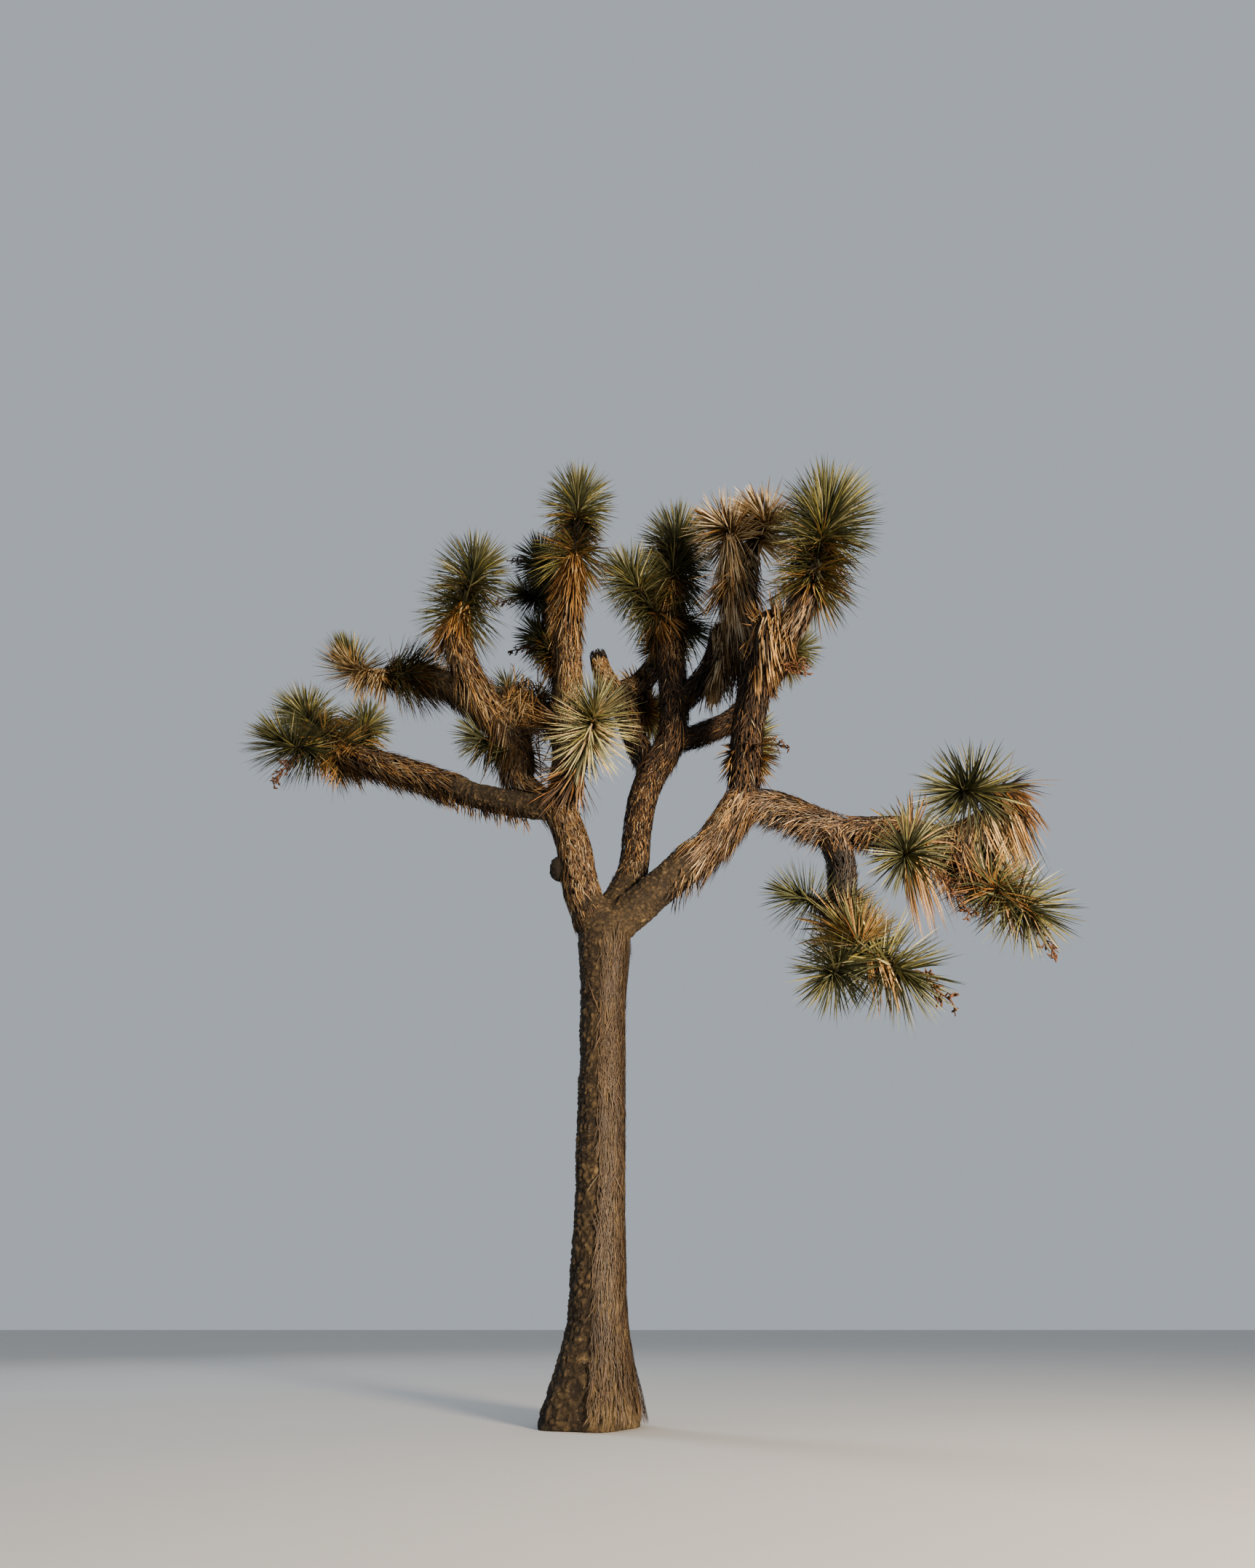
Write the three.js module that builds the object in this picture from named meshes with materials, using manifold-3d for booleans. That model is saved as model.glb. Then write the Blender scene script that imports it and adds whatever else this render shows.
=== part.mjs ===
// A Joshua tree, 7.1 m tall: one straight trunk with a flared foot, three main limbs that fork
// again and again, and a shaggy head of dagger leaves at the end of every branch.
// Millimetres, +Z up. The origin is the middle of the flat cut under the trunk.
import * as THREE from "three";
import { mergeVertices } from "three/addons/utils/BufferGeometryUtils.js";
import Module from "manifold-3d";

const wasm = await Module();
wasm.setup();

// Trunk: its girth at each height, and its small shift sideways above the foot
const TRUNK_GIRTHS = [
  [0, 456], [70, 427], [150, 381], [230, 328], [360, 279], [500, 262], [790, 247],
  [1410, 247], [1850, 246], [2040, 275], [2260, 320], [2380, 290], [2450, 170],
];
const TRUNK_TOP = 2478;
const TRUNK_SHIFT = 24;
const FOOT_HEIGHT = 360;
const FOOT_LEAN = 40;
const TRUNK_SIDES = 16;

// Boughs: what each one grows on and how far along it, the points that its middle line then
// passes through, and its girth from its start to its tip
const BOUGHS = {
  bough_left_main: {
    on: "trunk", at: 0.93,
    route: [[-120, -60, 2580], [-190, -100, 2910], [-300, -120, 3200]], girth: [272, 250, 230],
  },
  bough_right_main: {
    on: "trunk", at: 0.94,
    route: [[320, -50, 2560], [540, -100, 2740], [760, -140, 2940], [960, -160, 3250]],
    girth: [250, 230, 250, 248],
  },
  bough_middle_main: {
    on: "trunk", at: 0.96,
    route: [[200, 140, 2830], [240, 200, 3220], [290, 260, 3560], [370, 300, 3840]],
    girth: [230, 212, 240],
  },
  bough_left_long: {
    on: "bough_left_main", at: 0.99,
    route: [[-500, -80, 3230], [-850, 0, 3360], [-1240, 100, 3580], [-2150, 300, 4020]],
    girth: [200, 172, 226, 226],
  },
  bough_left_riser: {
    on: "bough_left_main", at: 0.97,
    route: [[-580, -20, 3460], [-650, 50, 3810], [-820, 120, 4160]], girth: [200, 198, 250],
  },
  bough_tall: {
    on: "bough_left_main", at: 1,
    route: [[-270, -100, 3520], [-260, -100, 3930], [-310, -240, 4880]], girth: [218, 206, 206],
  },
  bough_left_arm: {
    on: "bough_left_riser", at: 0.98,
    route: [[-1110, 220, 4510], [-1400, 320, 4800], [-1660, 400, 4970]], girth: [250, 252, 206],
  },
  bough_left_post: {
    on: "bough_left_riser", at: 0.98,
    route: [[-1000, 0, 4360], [-1140, -100, 4610], [-1240, -160, 4890]], girth: [230, 236, 214],
  },
  bough_left_back: {
    on: "bough_left_riser", at: 0.5,
    route: [[-720, 260, 4290], [-720, 480, 4670], [-820, 820, 4850], [-950, 1080, 5080]],
    girth: [190, 200, 190],
  },
  bough_back: {
    on: "bough_tall", at: 0.25,
    route: [[-360, 150, 4230], [-380, 340, 5000], [-630, 440, 6200]], girth: [180, 206, 200],
  },
  bough_middle_right: {
    on: "bough_middle_main", at: 0.99,
    route: [[520, 300, 4160], [560, 300, 4570], [530, 280, 5480]], girth: [240, 262, 252],
  },
  bough_middle_left: {
    on: "bough_middle_main", at: 0.98,
    route: [[240, 420, 4240], [150, 520, 4680], [90, 580, 4960]], girth: [200, 196, 236],
  },
  bough_stub: {
    on: "bough_middle_left", at: 0.9,
    route: [[10, 500, 5070], [-50, 460, 5310]], girth: [196, 196, 150],
  },
  bough_middle_back: {
    on: "bough_middle_left", at: 0.98,
    route: [[260, 740, 5190], [440, 900, 5620], [560, 980, 5970]], girth: [210, 210],
  },
  bough_straw_side: {
    on: "bough_middle_right", at: 0.42,
    route: [[760, 220, 4680], [910, 100, 4880], [980, 0, 5160]], girth: [208, 200],
  },
  bough_far_right: {
    on: "bough_middle_right", at: 0.2,
    route: [[790, 420, 4320], [1110, 520, 4600], [1670, 680, 5460]], girth: [176, 190, 184],
  },
  bough_right_post: {
    on: "bough_right_main", at: 0.99,
    route: [[1000, -180, 3520], [1040, -220, 3830], [1150, -360, 4320]], girth: [228, 236, 262],
  },
  bough_straw: {
    on: "bough_right_post", at: 0.94,
    route: [[1090, -300, 4620], [1070, -300, 5030], [1080, -320, 5350]], girth: [220, 224],
  },
  bough_corner: {
    on: "bough_right_post", at: 0.96,
    route: [[1250, -600, 4290], [1340, -800, 4330], [1430, -960, 4430]], girth: [236, 190],
  },
  bough_right_long: {
    on: "bough_right_main", at: 0.96,
    route: [[1140, -180, 3170], [1530, -240, 2940], [2000, -120, 3000], [2310, -40, 2960]],
    girth: [212, 216, 194, 210],
  },
  bough_right_arch: {
    on: "bough_right_long", at: 0.99,
    route: [[2570, 20, 3110], [2780, 20, 3260], [2860, -40, 3360]], girth: [206, 190],
  },
  bough_right_end: {
    on: "bough_right_long", at: 0.99,
    route: [[2460, 40, 2840], [2580, 80, 2730]], girth: [186, 160],
  },
  bough_hanging: {
    on: "bough_right_long", at: 0.42,
    route: [[1500, -260, 2650], [1440, -280, 2270], [1480, -320, 2090]], girth: [190, 176, 150],
  },
};
const BOUGH_SIDES = 8;
const BOUGH_STEP = 230;

// The rings that close a limb's rounded tip: how far past the end, and their radius, both as
// shares of the radius there
const TIP_RINGS = [{ past: 0.45, radius: 0.72 }, { past: 0.62, radius: 0 }];

// Heads of leaves: what each stem grows on and how far along it, the points that the stem passes
// through, and how far its leaves reach. A hanging head is dead: its stem's girth is listed, and
// its leaves point down.
const HEADS = {
  leaves_left_tip: { on: "bough_left_long", at: 1, route: [[-2440, 140, 3950]], reach: 350 },
  leaves_left_upper: { on: "bough_left_long", at: 0.97, route: [[-2570, 420, 4520]], reach: 320 },
  leaves_left_inner: { on: "bough_left_long", at: 0.92, route: [[-2060, 480, 4470]], reach: 270 },
  leaves_left_arm: { on: "bough_left_arm", at: 1, route: [[-2250, 340, 4960]], reach: 310 },
  leaves_left_post: { on: "bough_left_post", at: 1, route: [[-1150, -240, 5780]], reach: 340 },
  leaves_under_left: { on: "bough_left_riser", at: 0.62, route: [[-1020, 160, 4080]], reach: 270 },
  leaves_left_back: { on: "bough_left_back", at: 0.28, route: [[-850, 360, 4750]], reach: 280 },
  leaves_left_far_back: { on: "bough_left_back", at: 0.5, route: [[-660, 720, 4970]], reach: 260 },
  leaves_rear_left: { on: "bough_left_back", at: 1, route: [[-1110, 1300, 5400]], reach: 330 },
  leaves_tall: { on: "bough_tall", at: 1, route: [[-280, -400, 6400]], reach: 370 },
  leaves_front: {
    on: "bough_tall", at: 0.02, route: [[-180, -270, 3340], [-50, -680, 3500]], reach: 340,
  },
  leaves_back: { on: "bough_back", at: 1, route: [[-720, 460, 6710]], reach: 330 },
  leaves_back_low: { on: "bough_back", at: 0.9, route: [[-780, 290, 5930]], reach: 280 },
  leaves_back_arm: {
    on: "bough_back", at: 0.48, route: [[-470, 460, 5260], [-670, 620, 5720]], reach: 310,
  },
  leaves_rear_centre: {
    on: "bough_back", at: 0.33, route: [[-330, 800, 4850], [-220, 1600, 5410]], reach: 330,
  },
  leaves_middle_top: { on: "bough_middle_right", at: 1, route: [[650, 220, 6740]], reach: 370 },
  leaves_middle_side: { on: "bough_middle_right", at: 0.98, route: [[210, 200, 6070]], reach: 330 },
  leaves_middle_back: { on: "bough_middle_back", at: 1, route: [[620, 1100, 6350]], reach: 330 },
  leaves_rear_middle: {
    on: "bough_middle_back", at: 0.3, route: [[320, 1150, 5280], [390, 1700, 5660]], reach: 330,
  },
  leaves_straw_right: { on: "bough_straw", at: 1, route: [[1390, -500, 5960]], reach: 350 },
  leaves_straw_left: { on: "bough_straw", at: 0.99, route: [[1060, -420, 5950]], reach: 360 },
  leaves_hanging_skirt: {
    on: "bough_straw_side", at: 1, route: [[960, -60, 4800], [850, -100, 4330]], reach: 200,
    hanging: [170, 130],
  },
  leaves_far_right: { on: "bough_far_right", at: 1, route: [[1850, 780, 5730]], reach: 280 },
  leaves_rear_right: {
    on: "bough_far_right", at: 0.72, route: [[1480, 950, 5600], [1540, 1300, 6310]], reach: 330,
  },
  leaves_right_behind: {
    on: "bough_right_post", at: 0.3, route: [[1060, 130, 3870], [1150, 420, 4300]], reach: 320,
  },
  leaves_corner: { on: "bough_corner", at: 1, route: [[1680, -1140, 5020]], reach: 410 },
  leaves_drooping: {
    on: "bough_corner", at: 0.36, route: [[1250, -680, 4080], [1190, -670, 3860]],
    reach: 230, hanging: [230, 190],
  },
  leaves_right_arch: { on: "bough_right_arch", at: 1, route: [[2420, -300, 3200]], reach: 370 },
  leaves_right_front: { on: "bough_right_long", at: 0.84, route: [[1890, -340, 2690]], reach: 300 },
  leaves_right_low: { on: "bough_right_end", at: 0.6, route: [[2510, -120, 2560]], reach: 300 },
  leaves_right_end: { on: "bough_right_end", at: 1, route: [[2640, -110, 2450]], reach: 330 },
  leaves_hanging_left: { on: "bough_hanging", at: 0.72, route: [[1230, -260, 2430]], reach: 270 },
  leaves_hanging_tuft: { on: "bough_hanging", at: 0.86, route: [[1370, -520, 2060]], reach: 290 },
  leaves_hanging_front: { on: "bough_hanging", at: 1, route: [[1290, -440, 1890]], reach: 270 },
  leaves_hanging_end: { on: "bough_hanging", at: 1, route: [[1620, -440, 1910]], reach: 340 },
};
const STEM_SIDES = 9;
const STEM_STEP = 125;
const HANGING_SIDES = 6;

// A stem by its depth below the top, as a share of the leaves' reach, with its radius there as a
// share too, and the angle between the leaves there and the stem: the rounded crown of young
// leaves, the neck, the whorl of the year before, and the skirt of dead leaves folded back
const PROFILE = [
  { depth: -0.2, radius: 0.2, lean: 10 },
  { depth: 0, radius: 0.27, lean: 44 },
  { depth: 0.5, radius: 0.32, lean: 92 },
  { depth: 1, radius: 0.27, lean: 126 },
  { depth: 1.5, radius: 0.33, lean: 112 },
  { depth: 2.1, radius: 0.46, lean: 142 },
  { depth: 2.9, radius: 0.4, lean: 160 },
  { depth: 9, radius: 0.3, lean: 162 },
];
const STEM_START = 0.34;
const BASE_BLEND = 0.4;

// Leaves: a dagger stands on one facet in two of its stem's skin, leaned and turned by a few
// degrees either way and shortened or lengthened by chance, and bows down the deeper it grows
const LEAN_JITTER = 18;
const TURN_JITTER = 20;
const LENGTH_RANGE = [0.89, 1.05];
const ROOT_DEPTH = 0.6;
const HANGING_LEAN = 20;
const DROOP = 0.3;
const LEAST_LIFT = 0.3;

// Dead flower stalks: where on its head each one starts, as a share of the stem, and the way to
// its tip
const STALKS = {
  leaves_left_tip: { at: 0.6, reach: [-110, -130, -420] },
  leaves_left_arm: { at: 0.75, reach: [-330, -60, 110] },
  leaves_left_post: { at: 0.95, reach: [-50, 30, 460] },
  leaves_back: { at: 0.7, reach: [-350, 40, 190] },
  leaves_back_low: { at: 0.8, reach: [-350, 20, -60] },
  leaves_back_arm: { at: 0.7, reach: [-400, 60, 30] },
  leaves_corner: { at: 0.8, reach: [330, 60, 370] },
  leaves_drooping: { at: 0.92, reach: [230, -90, -120] },
  leaves_right_behind: { at: 0.75, reach: [330, -60, -90] },
  leaves_right_front: { at: 0.7, reach: [250, -60, -330] },
  leaves_right_end: { at: 0.7, reach: [100, -60, -400] },
  leaves_hanging_end: { at: 0.7, reach: [290, -60, -250] },
};
const STALK_GIRTH = [26, 10];
const STALK_SIDES = 4;
const STALK_STEP = 160;
const STALK_BOW = { at: 0.55, rise: 0.08 };
const STALK_PRONGS = 5;
const PRONG_STARTS = [0.55, 0.97];
const PRONG_LENGTH = 80;
const PRONG_GIRTH = 14;
const PRONG_LEAN = 53;
const PRONG_JITTER = 40;
const GOLDEN_ANGLE = 137.5;

// Clearances between neighbouring pieces, and a leaf's from its own stem as a share of its half
// width, all measured at stops along the leaf, of which the first few are its root
const GAP = 0.45;
const LEAF_GAP = 10;
const OWN_GAP = 0.5;
const LEAF_STOPS = 8;
const ROOT_STOPS = 3;

const BARK = { color: 0x6f5a42, roughness: 0.95, metalness: 0 };
const THATCH = { color: 0x93744c, roughness: 0.95, metalness: 0 };
const GREEN = { color: 0x6f7350, roughness: 0.8, metalness: 0 };
const STRAW = { color: 0xa98a5c, roughness: 0.9, metalness: 0 };
const BARE_BOUGHS = ["bough_stub", "bough_right_main"];
const STRAW_HEADS = [
  "leaves_straw_right", "leaves_straw_left", "leaves_hanging_skirt", "leaves_drooping",
];

const UP = new THREE.Vector3(0, 0, 1);

// Gives the same numbers every run, one chain of them for each name
function makeRandom(name) {
  let state = [...name].reduce((sum, letter) => (sum * 31 + letter.charCodeAt(0)) % 2147483647, 7);
  return () => {
    state = (state * 48271) % 2147483647;
    return state / 2147483647;
  };
}

function toVector([x, y, z]) {
  return new THREE.Vector3(x, y, z);
}

// A closed geometry of three.js, as a solid that can be joined and cut
function toSolid(geometry) {
  geometry.deleteAttribute("normal");
  geometry.deleteAttribute("uv");
  const merged = mergeVertices(geometry, 0.001);
  const corners = merged.getIndex().array;
  const kept = [];
  for (let i = 0; i < corners.length; i += 3) {
    const [a, b, c] = corners.subarray(i, i + 3);
    if (a !== b && b !== c && c !== a) {
      kept.push(a, b, c);
    }
  }
  return new wasm.Manifold(new wasm.Mesh({
    numProp: 3,
    vertProperties: new Float32Array(merged.getAttribute("position").array),
    triVerts: new Uint32Array(kept),
  }));
}

// The biggest of a solid's loose pieces
function largestPiece(solid) {
  return solid.decompose().reduce((best, piece) => (piece.volume() > best.volume() ? piece : best));
}

// The value at a share of the way along a list of evenly spaced ones
function along(values, share) {
  const place = share * (values.length - 1);
  const low = Math.min(Math.floor(place), values.length - 2);
  return THREE.MathUtils.lerp(values[low], values[low + 1], place - low);
}

function curveThrough(start, route) {
  return new THREE.CatmullRomCurve3([start, ...route.map(toVector)], false, "centripetal");
}

// A limb is a curve with a radius along it. Its knots are even stops for measuring distances.
function makeLimb(name, curve, radiusAt, sides, step) {
  const steps = Math.max(3, Math.round(curve.getLength() / step));
  const knots = Array.from({ length: 2 * steps + 1 }, (unused, k) => ({
    point: curve.getPointAt(k / (2 * steps)),
    radius: radiusAt(k / (2 * steps)),
  }));
  return { name, curve, steps, radiusAt, sides, knots };
}

// The rings of a limb's skin from its flat start to its domed tip, grown outwards by a distance
function ringsOf(limb, grow) {
  const rings = [{ frame: 0, past: -grow, radius: 0 }];
  for (let k = 0; k <= limb.steps; k += 1) {
    rings.push({ frame: k, past: 0, radius: limb.radiusAt(k / limb.steps) + grow });
  }
  rings[1].past = -grow;
  const tip = rings.at(-1).radius;
  TIP_RINGS.forEach((ring) => {
    rings.push({ frame: limb.steps, past: ring.past * tip, radius: ring.radius * tip });
  });
  return rings;
}

// A limb's skin: a turned profile whose rings are carried to frames along the curve
function limbGeometry(limb, grow) {
  const rings = ringsOf(limb, grow);
  const profile = rings.map((ring, index) => new THREE.Vector2(ring.radius, index));
  const geometry = new THREE.LatheGeometry(profile, limb.sides);
  const frames = limb.curve.computeFrenetFrames(limb.steps, false);
  const position = geometry.getAttribute("position");
  const point = new THREE.Vector3();
  for (let i = 0; i < position.count; i += 1) {
    const ring = rings[Math.round(position.getY(i))];
    limb.curve.getPointAt(ring.frame / limb.steps, point);
    point.addScaledVector(frames.binormals[ring.frame], position.getX(i));
    point.addScaledVector(frames.normals[ring.frame], position.getZ(i));
    point.addScaledVector(frames.tangents[ring.frame], ring.past);
    position.setXYZ(i, point.x, point.y, point.z);
  }
  return geometry;
}

// The trunk: a turned profile with its foot pulled out to the left
function trunkSolid(grow) {
  const foot = TRUNK_GIRTHS[0];
  const profile = [
    new THREE.Vector2(0, foot[0] - grow),
    new THREE.Vector2(foot[1] / 2 + grow, foot[0] - grow),
    ...TRUNK_GIRTHS.slice(1).map(([height, girth]) => new THREE.Vector2(girth / 2 + grow, height)),
    new THREE.Vector2(0, TRUNK_TOP + grow),
  ];
  const geometry = new THREE.LatheGeometry(profile, TRUNK_SIDES);
  geometry.rotateX(Math.PI / 2);
  const position = geometry.getAttribute("position");
  for (let i = 0; i < position.count; i += 1) {
    const height = position.getZ(i);
    const share = THREE.MathUtils.clamp(height / FOOT_HEIGHT, 0, 1);
    const flare = (1 - share) * Math.max(0, -position.getX(i)) / (foot[1] / 2);
    position.setX(i, position.getX(i) + TRUNK_SHIFT * share - (FOOT_LEAN * flare) / 2);
  }
  return toSolid(geometry);
}

function trunkLimb() {
  const height = TRUNK_GIRTHS.at(-1)[0];
  const heights = TRUNK_GIRTHS.map(([z]) => z);
  const radiusAt = (share) => {
    const z = share * height;
    const i = Math.max(1, heights.findIndex((value) => value >= z));
    const blend = (z - heights[i - 1]) / (heights[i] - heights[i - 1]);
    return THREE.MathUtils.lerp(TRUNK_GIRTHS[i - 1][1], TRUNK_GIRTHS[i][1], blend) / 2;
  };
  const route = [[TRUNK_SHIFT, 0, FOOT_HEIGHT], [TRUNK_SHIFT, 0, height]];
  return makeLimb("trunk", curveThrough(new THREE.Vector3(), route), radiusAt, TRUNK_SIDES, BOUGH_STEP);
}

// One value of the profile at a depth below the top, both as shares of the reach
function profileAt(depth, key) {
  const next = Math.max(1, PROFILE.findIndex((row) => row.depth >= depth));
  const [low, high] = PROFILE.slice(next - 1, next + 1);
  const blend = THREE.MathUtils.clamp((depth - low.depth) / (high.depth - low.depth), 0, 1);
  return THREE.MathUtils.lerp(low[key], high[key], blend);
}

// A head's stem starts about as thick as its bough and takes the profile's radius further up
function stemRadius(row, parent, length) {
  if (row.hanging) {
    return (share) => along(row.hanging, share) / 2;
  }
  const start = Math.min(parent.radiusAt(row.at), STEM_START * row.reach);
  return (share) => {
    const full = row.reach * profileAt(((1 - share) * length) / row.reach, "radius");
    return THREE.MathUtils.lerp(start, full, THREE.MathUtils.smoothstep(share, 0, BASE_BLEND));
  };
}

// How far a point is outside a limb
function distanceToLimb(point, limb) {
  return Math.min(...limb.knots.slice(1).map((knot, index) => {
    const before = limb.knots[index];
    const stretch = new THREE.Line3(before.point, knot.point);
    const nearest = stretch.closestPointToPoint(point, true, new THREE.Vector3());
    return nearest.distanceTo(point) - Math.max(before.radius, knot.radius);
  }));
}

// Even stops from a leaf's root to its tip, with its half width at each
function stopsOf(root, tip, halfWidth) {
  return Array.from({ length: LEAF_STOPS + 1 }, (unused, k) => ({
    point: new THREE.Vector3().lerpVectors(root, tip, k / LEAF_STOPS),
    radius: halfWidth * (1 - k / LEAF_STOPS),
  }));
}

function touchesLimb(stops, limb) {
  return stops.some((stop) => distanceToLimb(stop.point, limb) < stop.radius + LEAF_GAP);
}

function touchesStops(stops, others) {
  return stops.some((stop) => others.some((other) => (
    stop.point.distanceTo(other.point) < stop.radius + other.radius + LEAF_GAP
  )));
}

// The leaf that stands on a facet of a head's stem: its root is the facet's middle, and it leans
// by how deep below the top it grows
function aimLeaf(row, stem, facet, random) {
  const root = new THREE.Vector3();
  facet.corners.forEach((corner) => root.addScaledVector(corner, 1 / 3));
  const forward = stem.curve.getTangentAt(facet.share);
  const centre = stem.curve.getPointAt(facet.share).addScaledVector(forward, facet.past);
  const outward = root.clone().sub(centre);
  outward.addScaledVector(forward, -outward.dot(forward)).normalize();
  outward.applyAxisAngle(forward, THREE.MathUtils.degToRad(TURN_JITTER * (random() - 0.5)));
  const depth = ((1 - facet.share) * stem.curve.getLength() - facet.past) / row.reach;
  const spread = row.hanging ? HANGING_LEAN : profileAt(depth, "lean");
  const lean = THREE.MathUtils.degToRad(spread + LEAN_JITTER * (random() - 0.5));
  const aim = forward.clone().multiplyScalar(Math.cos(lean)).addScaledVector(outward, Math.sin(lean));
  aim.addScaledVector(UP, row.hanging ? -1 : -DROOP * THREE.MathUtils.smoothstep(depth, 0, 2)).normalize();
  aim.addScaledVector(outward, Math.max(0, LEAST_LIFT * Math.sin(lean) - aim.dot(outward))).normalize();
  const inside = ROOT_DEPTH * root.distanceTo(centre) * Math.max(0, aim.dot(outward));
  const length = (row.reach - inside) * THREE.MathUtils.lerp(...LENGTH_RANGE, random());
  const tip = root.clone().addScaledVector(aim, length);
  const halfWidth = Math.max(...facet.corners.map((corner) => corner.distanceTo(root)));
  return { tip, stops: stopsOf(root, tip, halfWidth) };
}

// A head's skin with its leaves: a facet whose leaf has room is replaced by three that rise from
// its edges to the leaf's tip
function raiseLeaves(row, stem, hasRoom) {
  const random = makeRandom(stem.name);
  const rings = ringsOf(stem, 0);
  const skin = limbGeometry(stem, 0);
  const position = skin.getAttribute("position");
  const corners = skin.getIndex().array;
  const cornerAt = (i) => new THREE.Vector3().fromBufferAttribute(position, i);
  const faces = [];
  const leaves = [];
  for (let quad = 0; quad < corners.length / 6; quad += 1) {
    const ring = quad % (rings.length - 1);
    const sides = [corners.slice(6 * quad, 6 * quad + 3), corners.slice(6 * quad + 3, 6 * quad + 6)];
    const bearing = ring === rings.length - 2 || random() < 0.5 ? 0 : 1;
    sides.forEach((side, half) => {
      const points = [...side].map(cornerAt);
      const low = rings[ring];
      const high = rings[ring + 1];
      const facet = {
        corners: points,
        share: (low.frame + high.frame) / (2 * stem.steps),
        past: (low.past + high.past) / 2,
      };
      const leaf = ring > 0 && half === bearing ? aimLeaf(row, stem, facet, random) : null;
      if (leaf && hasRoom(leaf, leaves)) {
        leaves.push(leaf);
        points.forEach((point, k) => faces.push(point, points[(k + 1) % 3], leaf.tip));
      } else {
        faces.push(...points);
      }
    });
  }
  return { geometry: new THREE.BufferGeometry().setFromPoints(faces), leaves };
}

// A dead flower stalk: a thin bowed stem with short prongs
function stalkLimb(name, stem) {
  const row = STALKS[name];
  const start = stem.curve.getPointAt(row.at);
  const reach = toVector(row.reach);
  const middle = start.clone().addScaledVector(reach, STALK_BOW.at);
  middle.addScaledVector(UP, STALK_BOW.rise * reach.length());
  const curve = curveThrough(start, [middle.toArray(), start.clone().add(reach).toArray()]);
  return makeLimb(`${name}_stalk`, curve, (share) => along(STALK_GIRTH, share) / 2, STALK_SIDES, STALK_STEP);
}

function prongSolid(stalk, index, random) {
  const at = THREE.MathUtils.lerp(...PRONG_STARTS, index / STALK_PRONGS);
  const lean = THREE.MathUtils.degToRad(PRONG_LEAN);
  const aim = stalk.curve.getTangentAt(at);
  const outward = new THREE.Vector3().crossVectors(aim, UP).normalize();
  outward.applyAxisAngle(aim, THREE.MathUtils.degToRad(GOLDEN_ANGLE * index + PRONG_JITTER * random()));
  aim.multiplyScalar(Math.cos(lean)).addScaledVector(outward, Math.sin(lean));
  const prong = new THREE.ConeGeometry(PRONG_GIRTH / 2, PRONG_LENGTH, 3);
  prong.translate(0, PRONG_LENGTH / 2, 0);
  prong.applyQuaternion(new THREE.Quaternion().setFromUnitVectors(new THREE.Vector3(0, 1, 0), aim));
  const root = stalk.curve.getPointAt(at);
  prong.translate(root.x, root.y, root.z);
  return toSolid(prong);
}

function stalkSolids(name, stem) {
  const stalk = stalkLimb(name, stem);
  const random = makeRandom(stalk.name);
  const prongs = Array.from({ length: STALK_PRONGS }, (unused, k) => prongSolid(stalk, k, random));
  return [toSolid(limbGeometry(stalk, 0)), ...prongs];
}

// Every limb's middle line and thickness, the trunk first and the stems of the heads last
function layOutLimbs() {
  const limbs = { trunk: trunkLimb() };
  for (const [name, row] of Object.entries(BOUGHS)) {
    const curve = curveThrough(limbs[row.on].curve.getPointAt(row.at), row.route);
    const radiusAt = (share) => along(row.girth, share) / 2;
    limbs[name] = makeLimb(name, curve, radiusAt, BOUGH_SIDES, BOUGH_STEP);
  }
  for (const [name, row] of Object.entries(HEADS)) {
    const parent = limbs[row.on];
    const curve = curveThrough(parent.curve.getPointAt(row.at), row.route);
    const radiusAt = stemRadius(row, parent, curve.getLength());
    limbs[name] = makeLimb(name, curve, radiusAt, row.hanging ? HANGING_SIDES : STEM_SIDES, STEM_STEP);
  }
  return limbs;
}

// The skin of every head with its leaves. A leaf is skipped where it would touch another limb or
// a leaf, cross the leaves beside it, or end nearer to another head than to its own.
function growHeads(limbs) {
  const stems = Object.keys(HEADS).map((name) => limbs[name]);
  const stalks = Object.keys(STALKS).map((name) => stalkLimb(name, limbs[name]));
  const placed = [];
  const skins = {};
  for (const [name, row] of Object.entries(HEADS)) {
    const stem = limbs[name];
    const others = stems.filter((other) => other !== stem);
    const around = [...Object.values(limbs), ...stalks].filter((limb) => !limb.name.startsWith(name));
    const hasRoom = (leaf, leaves) => {
      const free = leaf.stops.slice(ROOT_STOPS);
      const own = distanceToLimb(leaf.tip, stem);
      return !around.some((limb) => touchesLimb(leaf.stops, limb))
        && !others.some((other) => distanceToLimb(leaf.tip, other) < own)
        && !placed.some((other) => touchesStops(leaf.stops, other.stops))
        && !leaves.some((other) => touchesStops(free, other.stops.slice(ROOT_STOPS)))
        && free.every((stop) => distanceToLimb(stop.point, stem) > OWN_GAP * stop.radius);
    };
    const { geometry, leaves } = raiseLeaves(row, stem, hasRoom);
    placed.push(...leaves);
    skins[name] = geometry;
  }
  return skins;
}

function isNear(limb, other) {
  return limb.knots.some((knot) => distanceToLimb(knot.point, other) < knot.radius + BOUGH_STEP);
}

function grownSolid(limb) {
  return limb.name === "trunk" ? trunkSolid(GAP) : toSolid(limbGeometry(limb, GAP));
}

// Each limb's solid, cut back a hair's breadth from the limbs before it
function cutLimbs(limbs, skins) {
  const solids = {};
  const done = [];
  for (const [name, limb] of Object.entries(limbs)) {
    const whole = name === "trunk" ? trunkSolid(0) : toSolid(skins[name] ?? limbGeometry(limb, 0));
    const near = done.filter((other) => isNear(limb, other)).map(grownSolid);
    const cut = largestPiece(near.reduce((solid, other) => solid.subtract(other), whole));
    solids[name] = name in STALKS ? wasm.Manifold.union([cut, ...stalkSolids(name, limb)]) : cut;
    done.push(limb);
  }
  return solids;
}

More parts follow.
